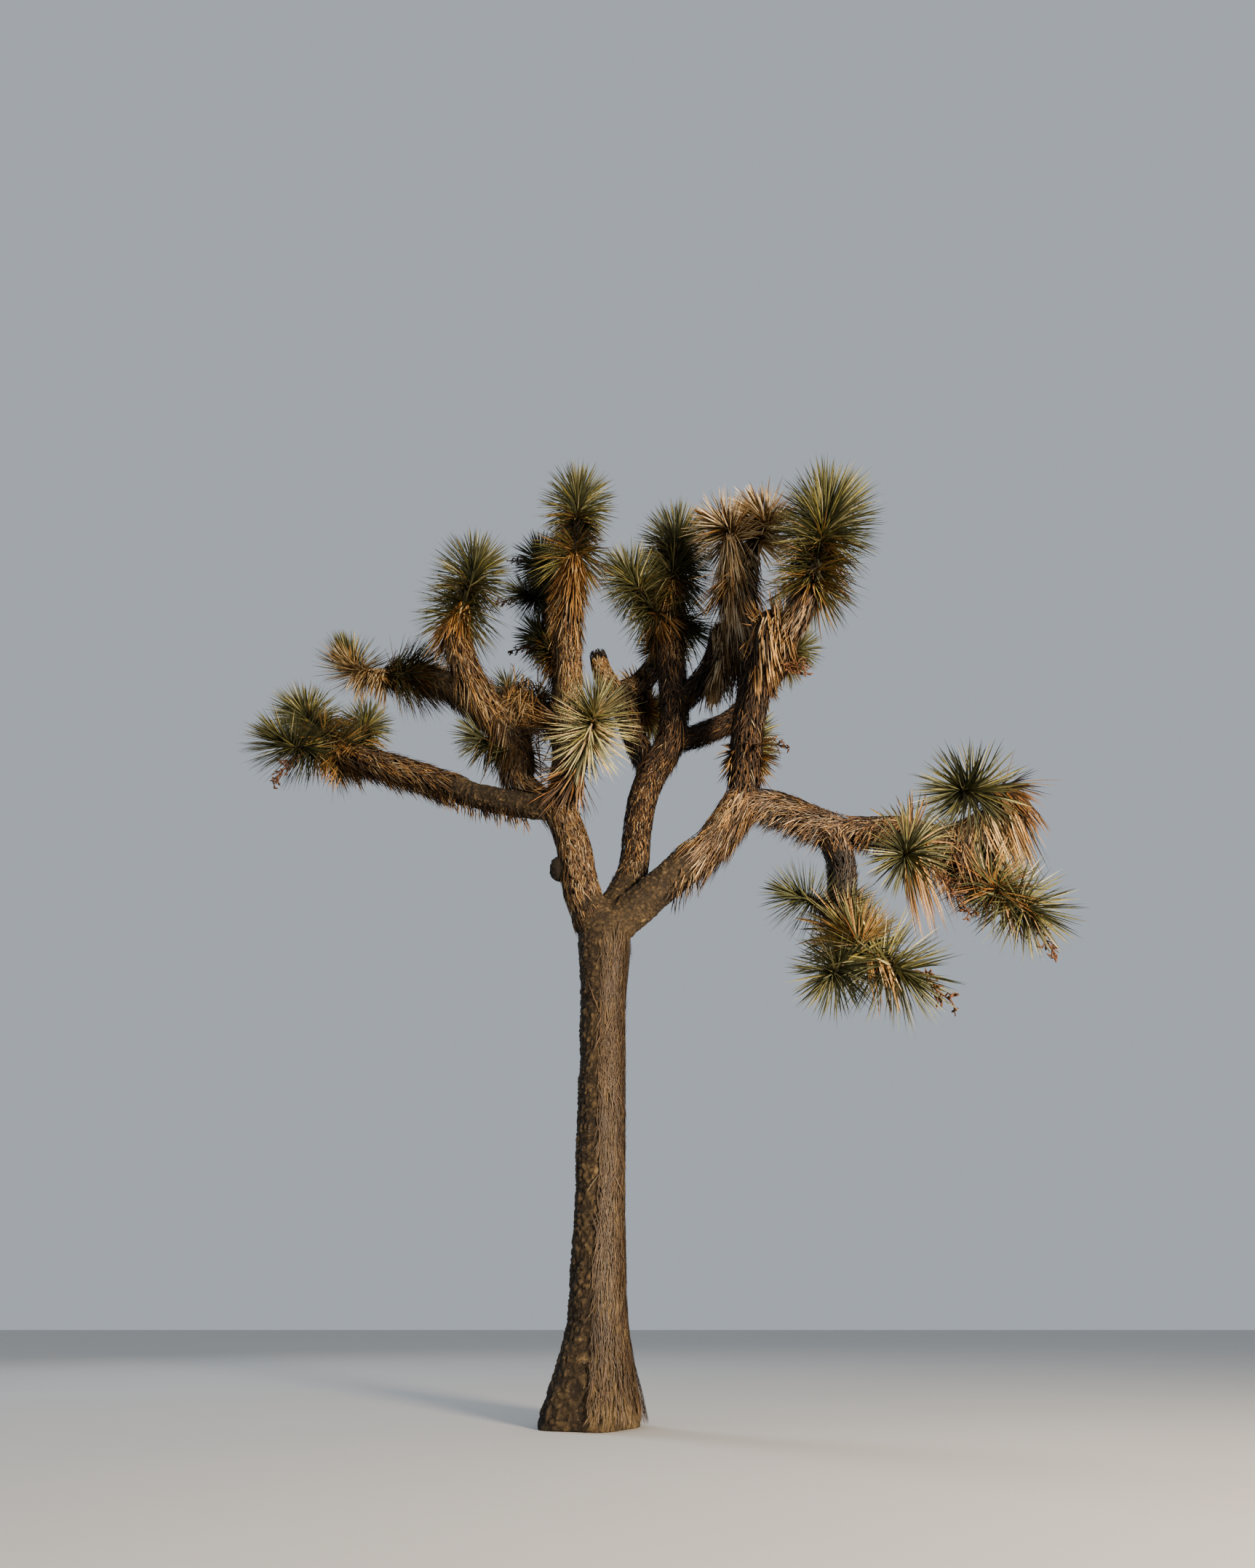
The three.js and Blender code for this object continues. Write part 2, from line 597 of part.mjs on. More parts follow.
// A mesh whose own origin is where its limb starts
function toMesh(name, solid, origin, look) {
  const { vertProperties, triVerts } = solid.getMesh();
  const geometry = new THREE.BufferGeometry();
  geometry.setAttribute("position", new THREE.BufferAttribute(new Float32Array(vertProperties), 3));
  geometry.setIndex(new THREE.BufferAttribute(new Uint32Array(triVerts), 1));
  geometry.translate(-origin.x, -origin.y, -origin.z);
  const mesh = new THREE.Mesh(geometry, new THREE.MeshStandardMaterial(look));
  mesh.name = name;
  mesh.position.copy(origin);
  return mesh;
}

function lookOf(name) {
  if (name === "trunk" || BARE_BOUGHS.includes(name)) {
    return BARK;
  }
  if (name in BOUGHS) {
    return THATCH;
  }
  return STRAW_HEADS.includes(name) ? STRAW : GREEN;
}

function buildTree() {
  const tree = new THREE.Group();
  const limbs = layOutLimbs();
  const solids = cutLimbs(limbs, growHeads(limbs));
  for (const [name, limb] of Object.entries(limbs)) {
    tree.add(toMesh(name, solids[name], limb.curve.getPointAt(0).round(), lookOf(name)));
  }
  return tree;
}

export default buildTree();
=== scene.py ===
# A Joshua tree, dressed: bark with its relief, a thatch of dead leaves on the boughs, heads of
# dagger leaves, dead flower stalks, then a pale floor, soft light and the camera. Metres, +Z up.
import math

import bpy
import numpy as np
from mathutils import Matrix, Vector


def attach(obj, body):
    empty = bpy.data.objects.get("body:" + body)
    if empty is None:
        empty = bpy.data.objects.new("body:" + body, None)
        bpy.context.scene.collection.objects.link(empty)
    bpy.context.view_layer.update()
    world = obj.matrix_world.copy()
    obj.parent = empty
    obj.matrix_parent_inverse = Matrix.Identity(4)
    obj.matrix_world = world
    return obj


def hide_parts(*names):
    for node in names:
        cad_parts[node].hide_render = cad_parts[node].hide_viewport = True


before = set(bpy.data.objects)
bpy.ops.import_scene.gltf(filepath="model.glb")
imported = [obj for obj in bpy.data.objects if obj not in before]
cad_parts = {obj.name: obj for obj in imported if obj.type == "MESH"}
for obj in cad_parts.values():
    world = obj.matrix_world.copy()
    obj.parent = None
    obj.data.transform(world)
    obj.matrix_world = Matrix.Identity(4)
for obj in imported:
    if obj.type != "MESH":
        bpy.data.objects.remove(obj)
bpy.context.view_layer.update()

# The camera: close to the ground, looking up through a very wide lens
CAMERA_PLACE = (0.17, -4.2, 0.355)
CAMERA_TILT = 36.65
CAMERA_LENS = 16.7
CAMERA_SENSOR = 36
CAMERA_FARTHEST = 400

# Trunk: its girth at each height, its small shift sideways above the foot, and its foot's lobes
TRUNK_GIRTHS = [
    (0, 0.456), (0.07, 0.427), (0.15, 0.381), (0.23, 0.328), (0.36, 0.279), (0.5, 0.262),
    (0.79, 0.247), (1.41, 0.247), (1.85, 0.246), (2.04, 0.275), (2.26, 0.32), (2.38, 0.29), (2.45, 0.17),
]
TRUNK_TOP = TRUNK_GIRTHS[-1][0]
TRUNK_SHIFT = 0.024
FOOT_HEIGHT = 0.36
FOOT_LEAN = 0.04
FOOT_LOBES = 5
FOOT_LOBE_DEPTH = 0.07

# Boughs: what each one grows on and how far along it, the points that its middle line then
# passes through, and its girth with its thatch from its start to its tip
BOUGHS = {
    "bough_left_main": dict(
        on="trunk", at=0.93, route=[(-0.12, -0.06, 2.58), (-0.19, -0.1, 2.91), (-0.3, -0.12, 3.2)],
        girth=[0.272, 0.25, 0.23],
    ),
    "bough_right_main": dict(
        on="trunk", at=0.94,
        route=[(0.32, -0.05, 2.56), (0.54, -0.1, 2.74), (0.76, -0.14, 2.94), (0.96, -0.16, 3.25)],
        girth=[0.25, 0.23, 0.25, 0.248],
    ),
    "bough_middle_main": dict(
        on="trunk", at=0.96,
        route=[(0.2, 0.14, 2.83), (0.24, 0.2, 3.22), (0.29, 0.26, 3.56), (0.37, 0.3, 3.84)],
        girth=[0.23, 0.212, 0.24],
    ),
    "bough_left_long": dict(
        on="bough_left_main", at=0.99,
        route=[(-0.5, -0.08, 3.23), (-0.85, 0, 3.36), (-1.24, 0.1, 3.58), (-2.15, 0.3, 4.02)],
        girth=[0.2, 0.172, 0.226, 0.226],
    ),
    "bough_left_riser": dict(
        on="bough_left_main", at=0.97,
        route=[(-0.58, -0.02, 3.46), (-0.65, 0.05, 3.81), (-0.82, 0.12, 4.16)],
        girth=[0.2, 0.198, 0.25],
    ),
    "bough_tall": dict(
        on="bough_left_main", at=1,
        route=[(-0.27, -0.1, 3.52), (-0.26, -0.1, 3.93), (-0.31, -0.24, 4.88)],
        girth=[0.218, 0.206, 0.206],
    ),
    "bough_left_arm": dict(
        on="bough_left_riser", at=0.98,
        route=[(-1.11, 0.22, 4.51), (-1.4, 0.32, 4.8), (-1.66, 0.4, 4.97)], girth=[0.25, 0.252, 0.206],
    ),
    "bough_left_post": dict(
        on="bough_left_riser", at=0.98,
        route=[(-1, 0, 4.36), (-1.14, -0.1, 4.61), (-1.24, -0.16, 4.89)], girth=[0.23, 0.236, 0.214],
    ),
    "bough_left_back": dict(
        on="bough_left_riser", at=0.5,
        route=[(-0.72, 0.26, 4.29), (-0.72, 0.48, 4.67), (-0.82, 0.82, 4.85), (-0.95, 1.08, 5.08)],
        girth=[0.19, 0.2, 0.19],
    ),
    "bough_back": dict(
        on="bough_tall", at=0.25, route=[(-0.36, 0.15, 4.23), (-0.38, 0.34, 5), (-0.63, 0.44, 6.2)],
        girth=[0.18, 0.206, 0.2],
    ),
    "bough_middle_right": dict(
        on="bough_middle_main", at=0.99,
        route=[(0.52, 0.3, 4.16), (0.56, 0.3, 4.57), (0.53, 0.28, 5.48)], girth=[0.24, 0.262, 0.252],
    ),
    "bough_middle_left": dict(
        on="bough_middle_main", at=0.98,
        route=[(0.24, 0.42, 4.24), (0.15, 0.52, 4.68), (0.09, 0.58, 4.96)], girth=[0.2, 0.196, 0.236],
    ),
    "bough_stub": dict(
        on="bough_middle_left", at=0.9, route=[(-0.04, 0.5, 5.07), (-0.11, 0.46, 5.33)],
        girth=[0.196, 0.196, 0.15],
    ),
    "bough_middle_back": dict(
        on="bough_middle_left", at=0.98,
        route=[(0.26, 0.74, 5.19), (0.44, 0.9, 5.62), (0.56, 0.98, 5.97)], girth=[0.21, 0.21],
    ),
    "bough_straw_side": dict(
        on="bough_middle_right", at=0.42,
        route=[(0.76, 0.22, 4.68), (0.91, 0.1, 4.88), (0.98, 0, 5.16)], girth=[0.208, 0.2],
    ),
    "bough_far_right": dict(
        on="bough_middle_right", at=0.2,
        route=[(0.79, 0.42, 4.32), (1.11, 0.52, 4.6), (1.67, 0.68, 5.46)], girth=[0.176, 0.19, 0.184],
    ),
    "bough_right_post": dict(
        on="bough_right_main", at=0.99,
        route=[(1, -0.18, 3.52), (1.04, -0.22, 3.83), (1.15, -0.36, 4.32)],
        girth=[0.228, 0.236, 0.262],
    ),
    "bough_straw": dict(
        on="bough_right_post", at=0.94,
        route=[(1.09, -0.3, 4.62), (1.07, -0.3, 5.03), (1.08, -0.32, 5.35)], girth=[0.22, 0.224],
    ),
    "bough_corner": dict(
        on="bough_right_post", at=0.96,
        route=[(1.25, -0.6, 4.29), (1.34, -0.8, 4.33), (1.43, -0.96, 4.43)], girth=[0.236, 0.19],
    ),
    "bough_right_long": dict(
        on="bough_right_main", at=0.96,
        route=[(1.14, -0.18, 3.17), (1.53, -0.24, 2.94), (2, -0.12, 3), (2.31, -0.04, 2.96)],
        girth=[0.212, 0.216, 0.194, 0.21],
    ),
    "bough_right_arch": dict(
        on="bough_right_long", at=0.99,
        route=[(2.57, 0.02, 3.11), (2.78, 0.02, 3.26), (2.86, -0.04, 3.36)], girth=[0.206, 0.19],
    ),
    "bough_right_end": dict(
        on="bough_right_long", at=0.99, route=[(2.46, 0.04, 2.84), (2.58, 0.08, 2.73)],
        girth=[0.186, 0.16],
    ),
    "bough_hanging": dict(
        on="bough_right_long", at=0.42,
        route=[(1.5, -0.26, 2.65), (1.44, -0.28, 2.27), (1.48, -0.32, 2.09)],
        girth=[0.19, 0.176, 0.15],
    ),
}

# How a bough's thatch differs from most: the share of the bough that is bare below it, the length,
# width and number of its leaves, how much they hang, how far the upper layer stands out and by how
# many degrees more it flares, how pale they are, and the share of the bough from which they are
# painted near black as shadow. Paleness below zero on the middle boughs and the right post is
# painted shadow, and on the straw bough paleness is painted light. A fringe hangs under a bough from
# one share of it to another, with a number of leaves. A curtain is long leaves that fall from round
# a part of a bough or stem.
MOST_THATCH = dict(
    bare=0, length=0.15, width=1, count=1, hang=0.25, lift=1, flare=0, pale=0, painted_shade_from=1,
    fringe=None, curtain=None,
)
THATCH = {
    "bough_left_main": dict(bare=0.2, length=0.09, count=2.6, width=0.72, lift=0.5, pale=0.1),
    # Paleness below zero here is painted shadow
    "bough_middle_main": dict(bare=0.3, length=0.09, count=2.2, width=0.75, lift=0.5, pale=-0.9),
    "bough_right_main": dict(
        bare=0.6, length=0.2, hang=0.5, count=1.7, width=0.8, lift=0.7, pale=-0.1,
        fringe=(0.36, 0.58, 60),
    ),
    "bough_left_long": dict(bare=0.46, length=0.19, hang=0.5, count=1.1, fringe=(0.1, 0.5, 210)),
    "bough_left_riser": dict(
        length=0.2, hang=0.5, pale=0.5, count=1.4, width=0.85,
        curtain=dict(part=(0.5, 1), count=200, length=0.32, flare=5, tones="tan"),
    ),
    "bough_left_back": dict(
        length=0.24, hang=0.9, pale=0.2, count=1.3,
        curtain=dict(part=(0, 0.42), count=330, length=0.4, flare=7, tones="bleached"),
    ),
    "bough_left_arm": dict(length=0.22, hang=0.4, pale=0.6, count=1.3),
    "bough_tall": dict(length=0.17, pale=0.25, count=1.35, width=0.8, lift=0.8),
    "bough_right_long": dict(length=0.14, hang=1.3, count=1.7, pale=-0.45, width=0.62),
    "bough_right_arch": dict(
        length=0.3, hang=3, pale=-0.2,
        curtain=dict(part=(0.4, 1), count=250, length=0.58, flare=7, tones="tan"),
    ),
    "bough_right_end": dict(
        length=0.3, hang=1, pale=-0.6,
        curtain=dict(part=(0, 0.6), count=90, length=0.42, flare=9, tones="umber"),
    ),
    # The hanging bough's thatch is near black from 0.3 of the way along: painted shadow.
    "bough_hanging": dict(length=0.11, painted_shade_from=0.3, count=1.9, pale=-0.3, width=0.8),
    # The stub's thatch is paler, partly painted light, and near black at its top: painted shade.
    "bough_stub": dict(length=0.07, count=2.2, pale=0.5, painted_shade_from=0.82, lift=0.7),
    # Paleness below zero on these four boughs is painted shadow
    "bough_middle_left": dict(pale=-1.3),
    "bough_middle_right": dict(length=0.17, pale=-0.9, width=0.85, count=1.2),
    "bough_far_right": dict(pale=-1.2),
    "bough_straw_side": dict(pale=-1.2, length=0.1),
    # Paler thatch on the straw bough: painted light
    "bough_straw": dict(
        length=0.3, hang=0.8, flare=5, pale=0.6,
        curtain=dict(part=(0.5, 1), count=330, length=0.5, flare=11, tones="bleached"),
    ),
    # Paleness below zero here is painted shadow
    "bough_right_post": dict(pale=-1.3),
    "bough_corner": dict(length=0.13, hang=0.3, lift=1.3, pale=-0.5, count=1.2),
    "bough_left_post": dict(length=0.24, pale=0.2, flare=4),
}

# Heads of leaves: what each stem grows on and how far along it, the points that the stem passes
# through, and how far its leaves reach. A hanging head is dead: its numbers are its stem's girth
# with its leaves, at its start and its end.
HEADS = {
    "leaves_left_tip": dict(on="bough_left_long", at=1, route=[(-2.44, 0.14, 3.95)], reach=0.35),
    "leaves_left_upper": dict(on="bough_left_long", at=0.97, route=[(-2.57, 0.42, 4.52)], reach=0.32),
    "leaves_left_inner": dict(on="bough_left_long", at=0.92, route=[(-2.06, 0.48, 4.47)], reach=0.27),
    "leaves_left_arm": dict(on="bough_left_arm", at=1, route=[(-2.25, 0.34, 4.96)], reach=0.38),
    "leaves_left_post": dict(on="bough_left_post", at=1, route=[(-1.16, -0.24, 5.6)], reach=0.38),
    "leaves_under_left": dict(on="bough_left_riser", at=0.62, route=[(-0.97, 0.16, 4.05)], reach=0.27),
    "leaves_left_back": dict(on="bough_left_back", at=0.28, route=[(-0.85, 0.36, 4.75)], reach=0.28),
    "leaves_left_far_back": dict(on="bough_left_back", at=0.5, route=[(-0.66, 0.72, 4.97)], reach=0.26),
    "leaves_rear_left": dict(on="bough_left_back", at=1, route=[(-1.11, 1.3, 5.4)], reach=0.33),
    "leaves_tall": dict(on="bough_tall", at=1, route=[(-0.28, -0.4, 6.4)], reach=0.37),
    "leaves_front": dict(
        on="bough_tall", at=0.02, route=[(-0.18, -0.27, 3.34), (-0.05, -0.68, 3.5)], reach=0.34,
    ),
    "leaves_back": dict(on="bough_back", at=1, route=[(-0.72, 0.46, 6.71)], reach=0.33),
    "leaves_back_low": dict(on="bough_back", at=0.9, route=[(-0.78, 0.29, 5.93)], reach=0.28),
    "leaves_back_arm": dict(
        on="bough_back", at=0.48, route=[(-0.47, 0.46, 5.26), (-0.67, 0.62, 5.72)], reach=0.31,
    ),
    "leaves_rear_centre": dict(
        on="bough_back", at=0.33, route=[(-0.33, 0.8, 4.85), (-0.22, 1.6, 5.41)], reach=0.33,
    ),
    "leaves_middle_top": dict(on="bough_middle_right", at=1, route=[(0.67, 0.22, 6.7)], reach=0.42),
    "leaves_middle_side": dict(on="bough_middle_right", at=0.98, route=[(0.21, 0.2, 6.07)], reach=0.39),
    "leaves_middle_back": dict(on="bough_middle_back", at=1, route=[(0.62, 1.1, 6.35)], reach=0.33),
    "leaves_rear_middle": dict(
        on="bough_middle_back", at=0.3, route=[(0.32, 1.15, 5.28), (0.39, 1.7, 5.66)], reach=0.33,
    ),
    "leaves_straw_right": dict(on="bough_straw", at=1, route=[(1.37, -0.5, 5.88)], reach=0.4),
    "leaves_straw_left": dict(on="bough_straw", at=0.99, route=[(1.06, -0.42, 5.95)], reach=0.4),
    "leaves_hanging_skirt": dict(
        on="bough_straw_side", at=1, reach=0.2, hanging=[0.17, 0.13],
        route=[(0.96, -0.06, 4.8), (0.85, -0.1, 4.33)],
    ),
    "leaves_far_right": dict(on="bough_far_right", at=1, route=[(1.85, 0.78, 5.73)], reach=0.28),
    "leaves_rear_right": dict(
        on="bough_far_right", at=0.72, route=[(1.48, 0.95, 5.6), (1.54, 1.3, 6.31)], reach=0.33,
    ),
    "leaves_right_behind": dict(
        on="bough_right_post", at=0.3, route=[(1.06, 0.13, 3.87), (1.15, 0.42, 4.3)], reach=0.32,
    ),
    "leaves_corner": dict(on="bough_corner", at=1, route=[(1.6, -1.14, 5.02)], reach=0.41),
    "leaves_drooping": dict(
        on="bough_corner", at=0.36, reach=0.22, hanging=[0.26, 0.21],
        route=[(1.2, -0.7, 4.4), (1.13, -0.72, 4.2), (1.11, -0.7, 3.9)],
    ),
    "leaves_right_arch": dict(on="bough_right_arch", at=1, route=[(2.42, -0.3, 3.2)], reach=0.37),
    "leaves_right_front": dict(on="bough_right_long", at=0.84, route=[(1.89, -0.34, 2.69)], reach=0.3),
    "leaves_right_low": dict(on="bough_right_end", at=0.6, route=[(2.51, -0.12, 2.56)], reach=0.3),
    "leaves_right_end": dict(on="bough_right_end", at=1, route=[(2.64, -0.11, 2.45)], reach=0.33),
    "leaves_hanging_left": dict(on="bough_hanging", at=0.72, route=[(1.23, -0.26, 2.43)], reach=0.27),
    "leaves_hanging_tuft": dict(on="bough_hanging", at=0.86, route=[(1.43, -0.5, 2.01)], reach=0.29),
    "leaves_hanging_front": dict(on="bough_hanging", at=1, route=[(1.29, -0.44, 1.89)], reach=0.27),
    "leaves_hanging_end": dict(on="bough_hanging", at=1, route=[(1.62, -0.44, 1.91)], reach=0.34),
}
# What sets some heads apart. Leaves is a share of the usual number, and whorl and skirt are shares
# of the usual length there. Aim is the way a crown points in place of its stem's, and last is the
# widest angle of its leaves. A side that has shed its leaves, or worn off the ones below the crown,
# has none. A share of a crown's leaves that rise less than a given height take other tones: dry dead
# leaves on the left arm's head, and on the front head pale ones, painted light on its lower side.
# Sink is how much further down the leaves below the crown sit, as a share of reach. Spread is the
# angle of a hanging head's leaves, and hood the number that arch over its start.
HEAD_NOTES = {
    # The front head: dark umber in its whorl, ruff and skirt is partly painted shade, and pale tones on its
    # lower leaves are painted light
    "leaves_front": dict(
        leaves=0.85, whorl=0.95, whorl_tones="umber", ruff_tones="umber", fresh_tones="umber",
        skirt=0.5, worn=(1, -0.6, 0), dry_and_lit=0.85, dry_and_lit_tones="pale", dry_and_lit_below=0.3,
    ),
    "leaves_hanging_left": dict(leaves=0.85, tones="deep"),
    "leaves_hanging_front": dict(leaves=0.8),
    "leaves_hanging_end": dict(
        leaves=0.6, curtain=dict(part=(0.2, 0.8), count=45, length=0.3, flare=20, tones="amber"),
    ),
    "leaves_hanging_tuft": dict(leaves=0.8, tones="gold", aim=(-0.3, -0.4, 0.85), last=80),
    "leaves_right_low": dict(leaves=0.55, tones="dusk"),
    "leaves_right_end": dict(
        leaves=0.6, curtain=dict(part=(0.3, 0.9), count=36, length=0.3, flare=14, tones="amber"),
    ),
    "leaves_right_front": dict(
        leaves=0.65, curtain=dict(part=(0.1, 0.75), count=80, length=0.62, flare=6, tones="amber"),
    ),
    "leaves_right_arch": dict(
        leaves=0.6, whorl_tones="sere", ruff_tones="sere", whorl=0.85, hang=3, last=105,
    ),
    "leaves_right_behind": dict(shed=(-1, -0.3, 0)),
    "leaves_middle_top": dict(whorl=1.2, whorl_tones="young", skirt=0.9),
    "leaves_middle_side": dict(whorl=1.1, whorl_tones="young"),
    "leaves_corner": dict(leaves=1.15, whorl=0.9, skirt=0.42, ruff_tones="whorl"),
    "leaves_left_tip": dict(aim=(-0.55, -0.75, 0.1)),
    "leaves_under_left": dict(tones="deep", whorl_tones="deep", shed=(1, -0.2, 0.4)),
    "leaves_back": dict(tones="deep"),
    "leaves_back_low": dict(tones="deep"),
    "leaves_back_arm": dict(tones="deep"),
    "leaves_left_arm": dict(
        aim=(-0.25, -0.6, 0.75), dry_and_lit=0.85, dry_and_lit_below=0.05, whorl=1.1, leaves=1.5, last=126,
        curtain=dict(part=(0.5, 0.95), count=90, length=0.36, flare=28, tones="bleached"),
    ),
    "leaves_tall": dict(
        skirt=0.9, whorl=1.2, sink=0.55,
        curtain=dict(part=(0.1, 0.5), count=170, length=0.4, flare=13, tones="amber"),
    ),
    "leaves_left_post": dict(
        whorl=1.15, whorl_tones="young", skirt=0.75,
        curtain=dict(part=(0.05, 0.4), count=130, length=0.34, flare=6, tones="amber"),
    ),
    "leaves_left_back": dict(
        shed=(0.2, -1, -0.5), worn=(0.2, -1, -0.5), tones="deep", whorl_tones="tan", whorl=0.7,
    ),
    "leaves_left_far_back": dict(
        shed=(0.2, -1, -0.5), worn=None, tones="deep", whorl_tones="sere", whorl=0.8,
    ),
    # The right straw head's crown and the left one's curtain take straw paler than their own: painted light
    "leaves_straw_right": dict(aim=(-0.5, -0.8, 0.3), last=118, whorl=0.75, leaves=0.9, tones="straw_with_painted_light"),
    "leaves_straw_left": dict(
        aim=(-0.85, -0.45, 0.2), last=112, whorl=0.9,
        curtain=dict(part=(0.25, 0.85), count=420, length=0.62, flare=15, tones="straw_with_painted_light"),
    ),
    # Its bleached tones are partly its own colour and partly painted light
    "leaves_hanging_skirt": dict(
        tones="bleached", spread=5, hood=40,
        curtain=dict(part=(0, 0.5), count=150, length=0.42, flare=5, tones="bleached"),
    ),
    "leaves_drooping": dict(
        tones="hanging", spread=5, hood=130,
        curtain=dict(part=(0, 0.3), count=120, length=0.34, flare=3, tones="hanging"),
    ),
}
STRAW_HEADS = ["leaves_straw_right", "leaves_straw_left"]

# A stem by its depth below the top, as a share of the leaves' reach, and the angle between the
# leaves there and the stem: the rounded crown of young leaves in its first rows, the neck, the
# whorl of the year before, and the skirt of dead leaves folded back
PROFILE = [(-0.25, 8), (0, 60), (0.32, 96), (0.68, 130), (1.05, 108), (1.6, 138), (2.3, 160), (9, 162)]
CROWN_ROWS = 4

# Tufts of dead leaves on the side of a bough: their place and how wide it is, the way they point
# and how much they spread from it, how many they are, and how far their tips fall
MOST_TUFTS = dict(spread=0.42, wide=(0.03, 0.03, 0.03), fall=(0.05, 0.25))
TUFTS = {
    "bough_tall": dict(
        place=(-0.33, -0.12, 3.9), aim=(-0.85, -0.25, 0.1), count=120, length=0.36, tones="sere",
    ),
    "bough_left_back": dict(
        place=(-0.72, 0.27, 4.44), aim=(0.02, -0.55, 0.5), count=620, length=0.42, tones="tan",
        wide=(0.1, 0.05, 0.13), fall=(0.9, 1.7),
    ),
    "bough_middle_right": dict(
        place=(0.64, 0.25, 5.5), aim=(0.8, -0.1, -0.55), count=190, length=0.46, tones="deep",
    ),
    "bough_straw": dict(
        place=(1.05, -0.12, 4.75), aim=(-0.25, 0.25, -0.9), count=150, length=0.46, tones="thatch_deep",
    ),
    "bough_straw_side": dict(
        place=(0.86, 0.14, 4.75), aim=(-0.1, 0.1, -0.95), count=120, length=0.34, tones="thatch_deep",
    ),
}
TUFT_FACES = (0, -0.8, 0.6)
TUFT_STRAY = 0.3

# Dead flower stalks: where each one starts on its head's stem, as a share of it, and how far and
# which way its tip is from there
STALKS = {
    "leaves_left_tip": dict(at=0.6, reach=(-0.11, -0.13, -0.42)),
    "leaves_left_arm": dict(at=0.75, reach=(-0.33, -0.06, 0.11)),
    "leaves_left_post": dict(at=0.95, reach=(-0.05, 0.03, 0.46)),
    "leaves_back": dict(at=0.7, reach=(-0.35, 0.04, 0.19)),
    "leaves_back_low": dict(at=0.8, reach=(-0.35, 0.02, -0.06)),
    "leaves_back_arm": dict(at=0.7, reach=(-0.4, 0.06, 0.03)),
    "leaves_corner": dict(at=0.8, reach=(0.33, 0.06, 0.37)),
    "leaves_drooping": dict(at=0.92, reach=(0.23, -0.09, -0.12)),
    "leaves_right_behind": dict(at=0.75, reach=(0.33, -0.06, -0.09)),
    "leaves_right_front": dict(at=0.6, reach=(0.2, -0.12, -0.56)),
    "leaves_right_end": dict(at=0.7, reach=(0.1, -0.06, -0.4)),
    "leaves_hanging_end": dict(at=0.7, reach=(0.29, -0.06, -0.25)),
}

# Wood inside the thatch and inside a hanging head, as a share of its girth, and inside the other
# heads, as a share of their leaves' reach at the tip and at the start of the leaves
THATCH_CORE = 0.84
BARE_BLEND = 0.06
STEM_CORE = 0.14
STEM_TIP_CORE = 0.11
STEM_BLEND = 0.5
HANGING_CORE = 0.8

# Stops along the middle line of a limb, in metres, and the tubes round it
STOP = 0.01
STOP_STEP = 4
LEAST_STOPS = 5
SPAN_STOPS = 40
FIRST_SIDE = (0.3, 1, 0.1)
TUBE_SIDES = 28
END_SHARE = 0.04

# The wood's meshes: their grain, the rounds that they are smoothed, the parts of the boughs that
# are in the trunk's mesh, and a knob on it
FORK_VOXEL = 0.0081
FORK_ROUNDS = 3
BOUGH_VOXEL = 0.022
BOUGH_ROUNDS = 2
BOUGH_SIDES = 16
FORK_SHARES = {
    "bough_left_main": 1, "bough_middle_main": 0.5, "bough_right_main": 0.85, "bough_left_long": 0.5,
}
OVERLAP = 0.3
OVERLAP_CORE = 0.9
LEAST_VOLUME = 1e-4
KNOB_PLACE = (-0.272, -0.08, 2.735)
KNOB_RADII = (0.065, 0.065, 0.09)
KNOB_RINGS = 14
# How much the knob's bark is darkened: painted shade
KNOB_PAINTED_SHADE = 3
KNOB_FADE = (1.05, 1.3)

# Relief of the bark, each with its depth, its waves to the metre and its seed: swells and pits
# everywhere, ridges along the fibres, and plates across the scales
SWELLS = dict(depth=0.012, waves=4.5, seed=11)
PITS = dict(depth=0.0025, waves=85, seed=31)
RIDGES = dict(depth=0.012, waves=(74, 74, 6), seed=5)
RIDGE_MIDDLE = 0.4
PLATES = dict(depth=0.018, waves=(40, 40, 56), seed=23)
PLATE_MIDDLE = 0.3
ROUGHEST = 1.75
RELIEF_UNIT = 0.006
BOUGH_RELIEF = 0.8
THATCH_SHADE = 0.7
FOOT_FADE = 0.02
FOOT_RELIEF = 0.2

# Long fibres cover the trunk's right side up to the fork, and scales the rest of the bare wood
FIBRE_EDGE = 0.02
FIBRE_BLEND = 0.03
FIBRE_WANDER = 0.05
FIBRE_WAVES = dict(waves=(0, 0, 1.3), shift=3, seed=7)
FIBRE_TOP = 2.3
FIBRE_FADE = (0.3, 0.1)
FIBRE_TURNS = (-95, 120)
BARE_UP_TO = {
    "trunk": 1, "bough_left_main": 0.2, "bough_middle_main": 0.3, "bough_right_main": 0.64,
    "bough_left_long": 0.46, "bough_stub": 0.8,
}
SCALES = 30000
SCALE_SHARES = (0.9, 0.1)
SCALES_TRIED = 3
SCALE_SIZES = (0.004, 0.009)
SCALE_SINK = 0.001
SCALES_FROM = 0.02
SCALES_OFF_FIBRES = 0.93
SCALE_SWIRL = 0.5
SCALE_BACK = (0.4, 1)
SCALE_OUT = 0.35
SCALE_LIFT = 0.3
SHREDS = 11000
SHRED_HEIGHTS = (0.03, 2.32)
SHRED_ROOTS = (0.002, 0.011)
SHREDS_UP = 0.3
SHRED_WEAVE = dict(depth=0.3, waves=(4, 0, 9), seed=71)
SHRED_STRAYS = dict(share=0.08, far=0.35, near=0.08)
SHRED_LENGTHS = (0.03, 0.13)
SHRED_LONG = dict(share=0.06, by=1.8)
SHRED_FOOT_LENGTH = 0.05
SHRED_LENGTH_GROWTH = 0.12
SHRED_FLOOR = 0.01
SHRED_TOP = 2.42
SHRED_WIDTHS = (0.0022, 0.0052)
SHRED_BOW = 0.12
